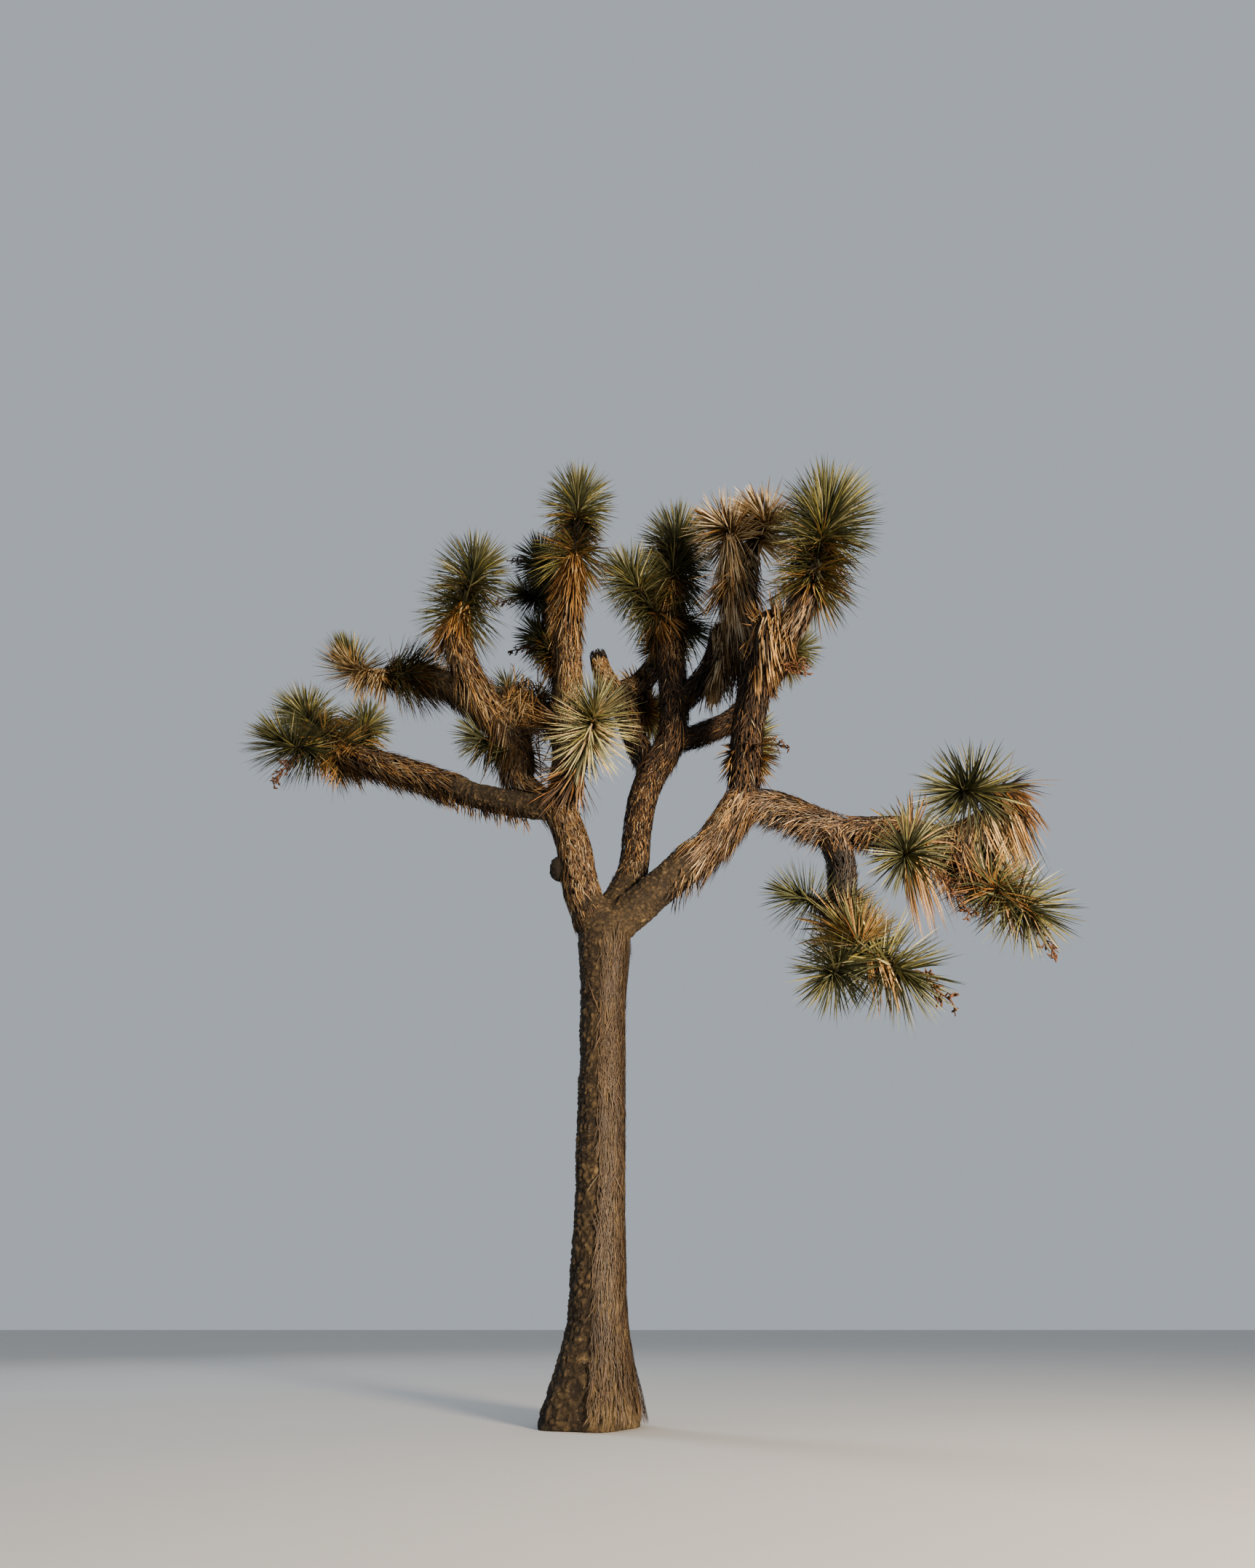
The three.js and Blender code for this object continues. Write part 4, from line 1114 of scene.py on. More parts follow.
class Stops:
    """Every limb's stops in one list, for finding what a point is nearest to."""

    def __init__(self, limbs, step):
        self.names = list(limbs)
        picked = [np.arange(0, len(limb.points), step) for limb in limbs.values()]
        gathered = list(zip(limbs.values(), picked))
        self.points = np.vstack([limb.points[rows] for limb, rows in gathered])
        self.ways = np.vstack([limb.ways[rows] for limb, rows in gathered])
        self.sides = np.vstack([limb.sides[rows] for limb, rows in gathered])
        self.fronts = np.vstack([limb.fronts[rows] for limb, rows in gathered])
        self.radii = np.concatenate([limb.core[rows] for limb, rows in gathered])
        self.shares = np.concatenate([limb.shares[rows] for limb, rows in gathered])
        self.travelled = np.concatenate([rows * STOP for rows in picked])
        self.owners = np.concatenate([np.full(len(rows), k) for k, rows in enumerate(picked)])

    def nearest(self, points):
        """For each point, the stop whose wood it is nearest to, and how far outside the wood it is."""
        found = np.empty(len(points), int)
        gap = np.empty(len(points))
        for start in range(0, len(points), CHUNK):
            part = points[start:start + CHUNK]
            squares = (part**2).sum(1)[:, None] + (self.points**2).sum(1)[None] - 2 * part @ self.points.T
            gaps = np.sqrt(np.maximum(squares, 0)) - self.radii[None]
            best = gaps.argmin(1)
            found[start:start + CHUNK] = best
            gap[start:start + CHUNK] = gaps[np.arange(len(part)), best]
        return found, gap


def fibre_share(points):
    """How much of the bark at a point is long fibres, on the trunk's right, and not scales."""
    wander = FIBRE_WANDER * rough_noise(points, FIBRE_WAVES)
    across = smoothstep(points[:, 0] + wander, FIBRE_EDGE - FIBRE_BLEND, FIBRE_EDGE + FIBRE_BLEND)
    return across * (1 - smoothstep(points[:, 2], FIBRE_TOP - FIBRE_FADE[0], FIBRE_TOP + FIBRE_FADE[1]))


def bark_relief(points, stops, scale):
    """How far the bark stands out of the wood, and how high it is in its own cracks and plates, lowered
    round the knob as painted shade.
    """
    found = stops.nearest(points)[0]
    out = points - stops.points[found]
    across = [(out * sides[found]).sum(1) for sides in (stops.sides, stops.fronts)]
    along = stops.travelled[found] + (out * stops.ways[found]).sum(1)
    unrolled = np.column_stack([*across, along])
    ridges = 1 - 2 * np.abs(rough_noise(unrolled, RIDGES)) - RIDGE_MIDDLE
    plates = np.abs(rough_noise(unrolled, PLATES)) - PLATE_MIDDLE
    fibres = fibre_share(points)
    relief = SWELLS["depth"] * rough_noise(points, SWELLS) + PITS["depth"] * rough_noise(points, PITS)
    detail = fibres * RIDGES["depth"] * ridges + (1 - fibres) * PLATES["depth"] * plates
    knob = np.linalg.norm((points - KNOB_PLACE) / KNOB_RADII, axis=1)
    return relief + detail * scale, detail / RELIEF_UNIT - KNOB_PAINTED_SHADE * (1 - smoothstep(knob, *KNOB_FADE))


def wood_piece(name, tubes, voxel, rounds, stops, scale, shade, look):
    """One skin over the tubes, with the bark's relief, which its look reads less a shade."""
    points, quads = remeshed(tubes, voxel)
    points = smoothed(points, quads, rounds)
    normals = skin_normals(points, quads)
    relief, detail = bark_relief(points, stops, scale)
    fade = smoothstep(points[:, 2], 0, FOOT_FADE)
    points = points + normals * (relief * np.maximum(fade, FOOT_RELIEF))[:, None]
    points[:, 2] = np.maximum(points[:, 2], 0)
    piece = make_mesh(name, points, [quads], [np.zeros(len(quads))], [look])
    height = piece.data.attributes.new("relief", "FLOAT", "POINT")
    height.data.foreach_set("value", (detail - shade).astype(np.float32))
    piece.data.polygons.foreach_set("use_smooth", np.ones(len(quads), bool))
    return piece, points, quads


def make_wood(limbs, stops, look):
    """The fork with the trunk in fine grain, and every bough and stem in coarser grain."""
    fork = Tubes(TUBE_SIDES)
    rings = trunk_rings()
    fork.add_rings(rings, rings[0].mean(0), rings[-1].mean(0))
    for name, share in FORK_SHARES.items():
        add_limb(fork, limbs[name], 0, share)
    turns = np.linspace(0, math.pi, KNOB_RINGS)[1:-1]
    fork.add(KNOB_PLACE + DOWN * (np.cos(turns) * KNOB_RADII[2])[:, None], np.sin(turns) * KNOB_RADII[0])
    boughs = Tubes(BOUGH_SIDES)
    for name in (*BOUGHS, *HEADS):
        share = FORK_SHARES.get(name, 0)
        if share > 0:
            add_limb(boughs, limbs[name], max(0, share - OVERLAP), share, OVERLAP_CORE)
        if share < 1:
            add_limb(boughs, limbs[name], share, 1)
    trunk = wood_piece("wood_trunk", fork, FORK_VOXEL, FORK_ROUNDS, stops, 1, 0, look)
    crown = wood_piece(
        "wood_boughs", boughs, BOUGH_VOXEL, BOUGH_ROUNDS, stops, BOUGH_RELIEF, THATCH_SHADE, look,
    )
    return trunk, crown


def deal(rng, count, name):
    """Tones dealt out by the shares of a set."""
    tones, shares = zip(*TONE_SETS[name].items())
    shares = np.array(shares, float)
    return rng.choice([TONES.index(tone) for tone in tones], count, p=shares / shares.sum())


def any_turn(rng, count):
    return rng.uniform(0, 2 * math.pi, count)


def leaned(ways, outs, lean):
    """Aims that lean from the ways toward the outs."""
    return ways * np.cos(lean)[:, None] + outs * np.sin(lean)[:, None]


def lifted(aims, outs, least):
    """Aims that point into the wood are turned to lie just above it."""
    rise = (aims * outs).sum(1, keepdims=True)
    return unit(aims + outs * np.maximum(0, least - rise))


def around(limb, share, turns):
    """Points, ways, outward directions and radii on a limb's wood."""
    points, ways, sides, fronts, radii = limb.at(
        share, limb.points, limb.ways, limb.sides, limb.fronts, limb.core
    )
    turns = turns[:, None]
    outs = unit(np.cos(turns) * sides + np.sin(turns) * fronts)
    return points, unit(ways), outs, radii


def lay(blades, stops, leaves, least=LEAF_GAP, shed=None):
    """Adds leaves, but none with its middle or tip in wood, or on the side that has shed them.

    The leaves are lists as Blades.add takes them: roots, aims, ways that their upper sides face,
    lengths, widths, bends and tones.
    """
    roots, aims, lengths, bends = leaves[0], leaves[1], leaves[3], leaves[5]
    kept = np.ones(len(roots), bool)
    for share in CLEAR_AT:
        places = roots + aims * (lengths * share)[:, None] + bends * share**2
        kept &= stops.nearest(places)[1] > least
    if shed:
        kept &= aims @ unit(np.array(shed, float)) < SHED_FROM
    blades.add(*(values[kept] for values in leaves))


def profile_depth(lean):
    """The depth below a head's top at which its crown's leaves have a lean, as a share of reach."""
    depths, leans = zip(*PROFILE[:CROWN_ROWS])
    return np.interp(lean, leans, depths)


def profile_lean(depth, stray, rng):
    """The lean of leaves at a depth below a head's top, each a little off."""
    return np.radians(np.interp(depth, *zip(*PROFILE)) + rng.normal(0, stray, len(depth)))


def add_crown(row, kind, limb, stops, blades, rng):
    """The ball of young leaves at a head's top, even over the ball."""
    reach = row["reach"]
    usual_last = math.cos(math.radians(CROWN_LAST_LEAN))
    first = math.cos(math.radians(CROWN_FIRST_LEAN))
    last = math.cos(math.radians(row.get("last", CROWN_LAST_LEAN)))
    count = round(CROWN_LEAVES * (reach / USUAL_REACH) ** 2 * row.get("leaves", kind["leaves"]))
    count = round(count * (first - last) / (first - usual_last))
    lean = np.degrees(np.arccos(first + (last - first) * (np.arange(count) + 0.5) / count))
    depth = profile_depth(lean)
    turns = SPIRAL * np.arange(count) + rng.normal(0, SPIRAL_STRAY, count)
    lean = np.radians(np.clip(lean + rng.normal(0, kind["stray"], count), *CROWN_LEANS))
    share = 1 - depth * reach / limb.length
    points, ways, outs, radii = around(limb, np.clip(share, 0, 1), turns)
    if "aim" in row:
        ways = np.broadcast_to(unit(np.array(row["aim"], float)), ways.shape)
        outs = unit(outs - ways * (outs * ways).sum(1, keepdims=True))
    beyond = np.maximum(0, share - 1)[:, None] * limb.length
    narrowing = np.clip(depth / PROFILE[0][0], 0, CROWN_NARROWS)
    roots = points + ways * beyond + outs * radii * CROWN_ROOT * (1 - narrowing)[:, None]
    aims = leaned(ways, outs, lean)
    degrees = np.degrees(lean)
    youngest = YOUNGEST_LENGTH + YOUNGEST_GROWTH * smoothstep(degrees, *YOUNGEST_LEANS)
    lengths = reach * rng.uniform(*CROWN["length"], count) * youngest
    lengths *= 1 - OLDEST_LOSS * smoothstep(degrees, *OLDEST_LEANS)
    widths = LEAF_WIDTH * rng.uniform(*CROWN["width"], count) * (reach / USUAL_REACH) ** 0.5
    if kind is STRAW_HEAD:
        widths *= STRAW_WIDER
        aims = unit(aims + DOWN * STRAW_SAG)
        tones = deal(rng, count, row.get("tones", "straw"))
    else:
        young = deal(rng, count, row.get("tones", "young"))
        old = OLD_SHARE * smoothstep(degrees + rng.normal(0, OLD_STRAY, count), *OLD_LEANS)
        tones = np.where(rng.random(count) < old, deal(rng, count, "old"), young)
        # Some leaves that point down take other tones: dry dead leaves, and on the front head painted light
        dry_and_lit = (rng.random(count) < row.get("dry_and_lit", 0)) & (aims[:, 2] < row.get("dry_and_lit_below", DRY_BELOW))
        tones = np.where(dry_and_lit, deal(rng, count, row.get("dry_and_lit_tones", "bleached")), tones)
    droop = kind["droop"] * np.sin(lean) + rng.uniform(*CROWN["droop"], count)
    bends = DOWN * (lengths * droop)[:, None]
    leaves = (roots, aims, leaned(-outs, ways, lean), lengths, widths, bends, tones)
    lay(blades, stops, leaves, shed=row.get("shed"))


def add_whorl(row, kind, limb, stops, blades, rng):
    """The ring of last year's leaves under the crown, with short dark ones at the neck above it."""
    reach = row["reach"]
    sink = row.get("sink", 0)
    count = round(WHORL_LEAVES * (reach / USUAL_REACH) ** 2 * row.get("leaves", 1) * (1 + sink))
    depth = rng.uniform(WHORL_DEPTHS[0], WHORL_DEPTHS[1] + sink, count)
    neck = depth < NECK_DEPTH + sink
    lean = profile_lean(np.maximum(depth - sink, WHORL_DEPTHS[0]), WHORL_STRAY, rng)
    share = np.clip(1 - depth * reach / limb.length, 0, 1)
    points, ways, outs, radii = around(limb, share, any_turn(rng, count))
    roots = points + outs * radii * WHORL_ROOT
    aims = unit(leaned(ways, outs, lean) + DOWN * row.get("hang", kind["whorl_hang"]))
    aims = lifted(aims, outs, WHORL_LIFT)
    lengths = reach * rng.uniform(*WHORL["length"], count) * row.get("whorl", 1)
    lengths = lengths * np.where(neck, NECK_LENGTH, 1)
    widths = LEAF_WIDTH * rng.uniform(*WHORL["width"], count)
    if kind is STRAW_HEAD:
        tones = deal(rng, count, "straw")
    else:
        tones = deal(rng, count, row.get("whorl_tones", "whorl"))
        tones = np.where(neck, deal(rng, count, "neck"), tones)
    bends = DOWN * (lengths * rng.uniform(*WHORL["droop"], count))[:, None]
    leaves = (roots, aims, leaned(-outs, ways, lean), lengths, widths, bends, tones)
    lay(blades, stops, leaves, shed=row.get("worn", row.get("shed")))


def add_ruff(row, kind, limb, stops, blades, rng):
    """The newest dead leaves, which flare out under the whorl like a grass skirt."""
    reach = row["reach"]
    count = round(RUFF_LEAVES * (reach / USUAL_REACH) ** 2 * kind["ruff"])
    depth = rng.uniform(*RUFF_DEPTHS, count) + row.get("sink", 0)
    share = 1 - depth * reach / limb.length
    share = share[share > 0]
    count = len(share)
    if count < 1:
        return
    lean = np.radians(rng.normal(RUFF_LEAN, RUFF_STRAY, count))
    points, ways, outs, radii = around(limb, share, any_turn(rng, count))
    roots = points + outs * radii * SKIRT_ROOT
    hang = rng.uniform(*RUFF_HANG, count) * kind["ruff_hang"] + row.get("hang", 0)
    aims = unit(leaned(ways, outs, lean) + DOWN * hang[:, None])
    aims = lifted(aims, outs, RUFF_LIFT)
    lengths = reach * rng.uniform(*RUFF["length"], count) * kind["length"] * row.get("skirt", 1)
    widths = LEAF_WIDTH * rng.uniform(*RUFF["width"], count)
    tones = deal(rng, count, row.get("ruff_tones", kind["ruff_tones"]))
    bends = DOWN * (lengths * rng.uniform(*RUFF["droop"], count))[:, None]
    leaves = (roots, aims, leaned(-outs, ways, lean), lengths, widths, bends, tones)
    lay(blades, stops, leaves, shed=row.get("worn"))


def add_skirt(row, kind, limb, stops, blades, rng):
    """Dead leaves folded back along a head's stem, all the way down it."""
    reach = row["reach"]
    sink = row.get("sink", 0)
    first = (WHORL_DEPTHS[1] + sink) * SKIRT_FROM * reach / limb.length
    stretch = 1 - first
    count = round(SKIRT_PER_METRE * kind["skirt"] * stretch * limb.length)
    if count < 1:
        return
    share = rng.uniform(0, stretch, count)
    depth = (1 - share) * limb.length / reach
    lean = profile_lean(depth, SKIRT_STRAY, rng)
    points, ways, outs, radii = around(limb, share, any_turn(rng, count))
    roots = points + outs * radii * SKIRT_ROOT
    hang = rng.uniform(*SKIRT_HANG, count)[:, None] * kind["skirt_hang"] + row.get("hang", 0)
    aims = unit(leaned(ways, outs, lean) + DOWN * hang)
    aims = lifted(aims, outs, SKIRT_LIFT)
    lengths = reach * rng.uniform(*SKIRT["length"], count) * kind["length"] * row.get("skirt", 1)
    widths = LEAF_WIDTH * rng.uniform(*SKIRT["width"], count)
    fresh = depth < RUFF_DEPTHS[1] + sink + FRESH_BEYOND
    fresh_tones = deal(rng, count, row.get("fresh_tones", "fresh"))
    tones = np.where(fresh, fresh_tones, deal(rng, count, "dead"))
    bends = DOWN * (lengths * rng.uniform(*SKIRT["droop"], count))[:, None]
    leaves = (roots, aims, leaned(-outs, ways, lean), lengths, widths, bends, tones)
    lay(blades, stops, leaves, shed=row.get("worn"))


def add_curtain(row, limb, stops, blades, rng):
    """Long dead leaves that fall from round a stem, a little wider toward their ends."""
    count = row["count"]
    share = rng.uniform(*row["part"], count)
    points, ways, outs, radii = around(limb, share, any_turn(rng, count))
    level = unit(outs * [1, 1, 0] + 1e-6)
    lean = np.radians(row["flare"] * rng.uniform(*CURTAIN_FLARE, count))
    roots = points + level * (radii + CURTAIN_GAP)
    sway = np.cross(level, DOWN) * rng.normal(0, CURTAIN_SWAY, count)[:, None]
    aims = unit(leaned(DOWN, level, lean) + sway)
    lengths = row["length"] * rng.uniform(*CURTAIN["length"], count)
    widths = LEAF_WIDTH * rng.uniform(*CURTAIN["width"], count)
    bends = (DOWN - aims) * (lengths * rng.uniform(*CURTAIN["droop"], count))[:, None]
    tones = deal(rng, count, row["tones"])
    lay(blades, stops, (roots, aims, level, lengths, widths, bends, tones))


def add_hanging(row, limb, stops, blades, rng):
    """A dead head that hangs: leaves close along its stem and past its end, under a hood of
    leaves that rise from its start and fall over."""
    count = round(HANGING_PER_METRE * limb.length)
    hood = np.arange(count) < row["hood"]
    share = np.where(hood, rng.uniform(0, HOOD_SHARE, count), rng.uniform(0, 1, count) ** HANGING_CROWDED)
    lean = np.radians(np.abs(rng.normal(row["spread"], HANGING_STRAY, count)))
    points, ways, outs, radii = around(limb, share, any_turn(rng, count))
    roots = points + outs * radii * rng.uniform(*HANGING_ROOTS, count)[:, None]
    aims = unit(leaned(ways, outs, lean) + DOWN * HANGING_SAG)
    end = np.where(share > HANGING_END, *HANGING_END_LENGTHS)
    lengths = row["reach"] * rng.uniform(*HANGING["length"], count) * end
    bends = outs * (lengths * rng.uniform(*HANGING["droop"], count))[:, None]
    arch = unit(outs * HOOD_OUT - DOWN * rng.uniform(*HOOD_RISE, count)[:, None])
    aims = np.where(hood[:, None], arch, aims)
    lengths = np.where(hood, lengths * HOOD_LENGTH, lengths)
    fall = DOWN * (lengths * rng.uniform(*HOOD_FALL, count))[:, None]
    fall = fall - arch * (lengths * HOOD_BACK)[:, None]
    bends = np.where(hood[:, None], fall, bends)
    widths = LEAF_WIDTH * rng.uniform(*HANGING["width"], count)
    tones = deal(rng, count, row["tones"])
    lay(blades, stops, (roots, aims, outs, lengths, widths, bends, tones))


def add_thatch(row, limb, stops, blades, rng):
    """Old leaves lying back along a bough, shaggier the more they hang. An upper layer of narrow
    ones stands out over a lower one of wide ones."""
    bare = row["bare"]
    count = round(THATCH_PER_METRE * row["count"] * limb.length * (1 - bare))
    share = bare + (1 - bare) * rng.uniform(0, 1, count)
    share = share - THATCH_RAGGED * rng.random(count) * (bare > 0)
    upper = rng.random(count) < THATCH_UPPER
    stand = rng.uniform(*THATCH_STAND, count) * row["lift"] + row["flare"]
    lean = np.radians(np.where(upper, stand, rng.uniform(*THATCH_LIE, count)))
    points, ways, outs, radii = around(limb, np.clip(share, 0, 1), any_turn(rng, count))
    roots = points + outs * (radii + rng.uniform(*THATCH_ROOTS, (count, 1)))
    swirl = rng.normal(0, 1, count) * np.where(upper, *THATCH_SWIRL)
    swirl = np.cross(ways, outs) * swirl[:, None]
    under = smoothstep(outs @ DOWN, *THATCH_UNDERSIDE)
    hang = rng.uniform(*THATCH_HANG, count) * row["hang"] * (TOP_HANG + UNDER_HANG * under)
    aims = unit(leaned(-ways, outs, lean) + swirl + DOWN * hang[:, None])
    aims = lifted(aims, outs, THATCH_LIFT)
    lengths = row["length"] * rng.uniform(*THATCHED["length"], count)
    lengths = lengths * (TOP_LENGTH + UNDER_LENGTH * under)
    narrow = rng.uniform(*THATCHED["upper_width"], count)
    widths = np.where(upper, narrow, rng.uniform(*THATCHED["lower_width"], count))
    widths = widths * THATCH_WIDTH * row["width"]
    # A bough's paleness shifts every tone: painted shadow below zero on the middle boughs and right post,
    # painted light on the straw bough
    patch = rough_noise(roots, THATCH_PATCHES) + row["pale"]
    # The lower layer is dealt darker tones than the upper: painted shade under it
    patch = patch + rng.normal(0, THATCH_MOTTLE, count) + np.where(upper, *THATCH_PALER)
    dealt = [deal(rng, count, name) for name in THATCH_SETS]
    tones = np.choose(np.searchsorted(THATCH_LEVELS, patch), dealt)
    # Past the given share the thatch is dealt near-black tones: painted shadow.
    if row["painted_shade_from"] < 1:
        painted_shadow = share > row["painted_shade_from"] + rng.normal(0, PAINTED_SHADOW_STRAY, count)
        tones = np.where(painted_shadow, deal(rng, count, "painted_shadow"), tones)
    bends = DOWN * (lengths * rng.uniform(*THATCHED["droop"], count))[:, None]
    bends = bends - outs * (lengths * THATCH_CLING)[:, None]
    lay(blades, stops, (roots, aims, outs, lengths, widths, bends, tones), THATCH_GAP)
    if row["fringe"]:
        add_fringe(row, limb, stops, blades, rng)
    if row["curtain"]:
        add_curtain(row["curtain"], limb, stops, blades, rng)


def add_tuft(row, stops, blades, rng):
    """Dead leaves that spread from one place on a bough's side."""
    row = {**MOST_TUFTS, **row}
    count = row["count"]
    aims = unit(np.array(row["aim"]) + rng.normal(0, row["spread"], (count, 3)))
    roots = np.array(row["place"]) + rng.normal(0, 1, (count, 3)) * row["wide"]
    lengths = row["length"] * rng.uniform(*TUFT["length"], count)
    widths = LEAF_WIDTH * rng.uniform(*TUFT["width"], count)
    bends = DOWN * (lengths * rng.uniform(*row["fall"], count))[:, None]
    uppers = unit(np.array(TUFT_FACES) + rng.normal(0, TUFT_STRAY, (count, 3)))
    tones = deal(rng, count, row["tones"])
    lay(blades, stops, (roots, aims, uppers, lengths, widths, bends, tones))


def add_fringe(row, limb, stops, blades, rng):
    """Ragged leaves that hang from the underside of a bough's bare stretch."""
    low, high, count = row["fringe"]
    share = rng.uniform(low, high, count)
    points, ways, radii = limb.at(share, limb.points, limb.ways, limb.core)
    under = unit(DOWN - ways * (ways @ DOWN)[:, None])
    outs = unit(under + np.cross(ways, under) * rng.normal(0, FRINGE_SPREAD, count)[:, None])
    roots = points + outs * radii * FRINGE_ROOT
    aims = unit(DOWN + outs * FRINGE_OUT - ways * rng.uniform(*FRINGE_BACK, count)[:, None])
    aims = lifted(aims, outs, FRINGE_LIFT)
    lengths = FRINGE_LENGTH * rng.uniform(*FRINGE["length"], count)
    widths = THATCH_WIDTH * rng.uniform(*FRINGE["width"], count)
    tones = deal(rng, count, "thatch_dark")
    bends = DOWN * (lengths * FRINGE["droop"])[:, None]
    lay(blades, stops, (roots, aims, outs, lengths, widths, bends, tones))


def add_stalk(row, limb, tubes, rng):
    """A dead flower stalk: a bowed stem, short branchlets and the knobs of old fruit."""
    start = limb.start(row["at"])
    end = start + np.array(row["reach"])
    bow = start + (end - start) * STALK_BOW["at"] + [0, 0, math.dist(start, end) * STALK_BOW["rise"]]
    line = spline([start, bow, end])
    tubes.add(line, np.interp(np.linspace(0, 1, len(line)), [0, 1], STALK_GIRTH) / 2)
    way = unit(end - start)
    for k in range(STALK_PRONGS):
        at = STALK_PRONGS_FROM + (1 - STALK_PRONGS_FROM) * (k + rng.random()) / STALK_PRONGS
        root = line[round(at * (len(line) - 1))]
        aim = unit(way * PRONG_FORWARD + unit(np.cross(way, rng.normal(0, 1, 3))))
        length = rng.uniform(*PRONG_LENGTHS) * (PRONG_TAPER[0] - PRONG_TAPER[1] * at)
        kink = root + aim * length / 2 + rng.normal(0, PRONG_KINK, 3)
        tip = root + aim * length + [0, 0, rng.uniform(*PRONG_SAG)]
        tubes.add(np.array([root, kink, tip]), np.array(PRONG_RADII))
        for fruit in range(rng.integers(*FRUITS)):
            fruit_way = unit(aim * FRUIT_FORWARD + rng.normal(0, FRUIT_STRAY, 3))
            size = rng.uniform(*FRUIT_SIZES)
            places = np.array(FRUIT_STATIONS)[:, None] * size * fruit_way
            base = kink + (tip - kink) * rng.random()
            tubes.add(base + places, size * np.array(FRUIT_RADII))


def add_scales(blades, points, quads, count, stops, rng):
    """Small plates of old leaf bases that stand out of the bark wherever it isn't fibres or thatch."""
    middles = points[quads].mean(1)
    normals = face_normals(points, quads)
    picked = rng.choice(len(quads), min(len(quads), count * SCALES_TRIED), replace=False)
    middles, normals = middles[picked], normals[picked]
    found = stops.nearest(middles)[0]
    bare = np.array([BARE_UP_TO.get(name, -1) for name in stops.names])[stops.owners[found]]
    open_bark = stops.shares[found] < bare
    open_bark &= rng.random(len(found)) > fibre_share(middles) * SCALES_OFF_FIBRES
    open_bark &= middles[:, 2] > SCALES_FROM
    rows = np.flatnonzero(open_bark)[:count]
    middles, normals, ways = middles[rows], normals[rows], stops.ways[found[rows]]
    count = len(rows)
    swirl = np.cross(ways, normals) * rng.normal(0, SCALE_SWIRL, count)[:, None]
    aims = unit(-ways * rng.uniform(*SCALE_BACK, count)[:, None] + swirl + normals * SCALE_OUT)
    aims = lifted(aims, normals, SCALE_LIFT)
    lengths = rng.uniform(*SCALE_SIZES, count)
    widths = rng.uniform(*SCALE_SIZES, count)
    tones = deal(rng, count, "scales")
    roots = middles - normals * SCALE_SINK
    blades.add(roots, aims, normals, lengths, widths, np.zeros((count, 3)), tones)


def trunk_noise(turns, height, pattern):
    """Smooth noise over the trunk's unrolled bark."""
    return lattice_noise(np.column_stack([turns, turns, height]) * pattern["waves"], pattern["seed"])


def add_shreds(blades, rng):
    """Short loose fibres that lie over one another down the trunk's right side."""
    height = rng.uniform(*SHRED_HEIGHTS, SHREDS)
    turns = np.radians(rng.uniform(*FIBRE_TURNS, SHREDS))
    radii = trunk_radius(height)
    slope = (trunk_radius(height + SLOPE_STEP) - radii) / SLOPE_STEP
    flat = np.zeros(SHREDS)
    outs = np.column_stack([np.cos(turns), np.sin(turns), flat])
    across = np.column_stack([-np.sin(turns), np.cos(turns), flat])
    flips = rng.choice([-1.0, 1.0], SHREDS, p=[1 - SHREDS_UP, SHREDS_UP])
    roots = outs * (radii + rng.uniform(*SHRED_ROOTS, SHREDS))[:, None]
    roots += np.column_stack([flat + TRUNK_SHIFT, flat, height])
    weave = SHRED_WEAVE["depth"] * trunk_noise(turns, height, SHRED_WEAVE)
    strays = np.where(rng.random(SHREDS) < SHRED_STRAYS["share"], SHRED_STRAYS["far"], SHRED_STRAYS["near"])
    aims = (outs * slope[:, None] - DOWN) * flips[:, None]
    aims = unit(aims + across * (weave + rng.normal(0, 1, SHREDS) * strays)[:, None])
    lengths = rng.uniform(*SHRED_LENGTHS, SHREDS)
    lengths = lengths * np.where(rng.random(SHREDS) < SHRED_LONG["share"], SHRED_LONG["by"], 1)
    room = np.where(flips < 0, height - SHRED_FLOOR, SHRED_TOP - height)
    lengths = np.minimum(np.minimum(lengths, room), SHRED_FOOT_LENGTH + height * SHRED_LENGTH_GROWTH)
    widths = rng.uniform(*SHRED_WIDTHS, SHREDS)
    bends = across * (lengths * rng.normal(0, SHRED_BOW, SHREDS))[:, None]
    bends = bends + outs * rng.uniform(*SHRED_CURL, SHREDS)[:, None]
    patch = np.minimum(trunk_noise(turns, height, SHRED_PATCHES) + SHRED_PATCH_EDGE, 0)
    cover = fibre_share(roots) + SHRED_PATCHES["depth"] * patch
    kept = cover > rng.uniform(*SHRED_COVER, SHREDS)
    tones = deal(rng, SHREDS, "shreds")
    blades.add(*(values[kept] for values in (roots, aims, outs, lengths, widths, bends, tones)))


def new_look(name, roughness):
    look = bpy.data.materials.new(name)
    look.use_nodes = True
    shader = look.node_tree.nodes["Principled BSDF"]
    shader.inputs["Roughness"].default_value = roughness
    return look, look.node_tree, shader


def noise(tree, scale, detail=3.0, rough=0.55):
    """Noise over the place on the tree in metres."""
    coordinates = tree.nodes.new("ShaderNodeTexCoord")
    node = tree.nodes.new("ShaderNodeTexNoise")
    node.inputs["Scale"].default_value = scale
    node.inputs["Detail"].default_value = detail
    node.inputs["Roughness"].default_value = rough
    tree.links.new(coordinates.outputs["Object"], node.inputs["Vector"])
    return node.outputs["Fac"]


def ramp(tree, value, stops):
    """A colour ramp over the value, from (place, colour) pairs."""
    node = tree.nodes.new("ShaderNodeValToRGB")
    elements = node.color_ramp.elements
    while len(elements) < len(stops):
        elements.new(0.5)
    for element, (place, colour) in zip(elements, stops):
        element.position = place
        element.color = (*colour, 1)
    tree.links.new(value, node.inputs["Fac"])
    return node.outputs["Color"]


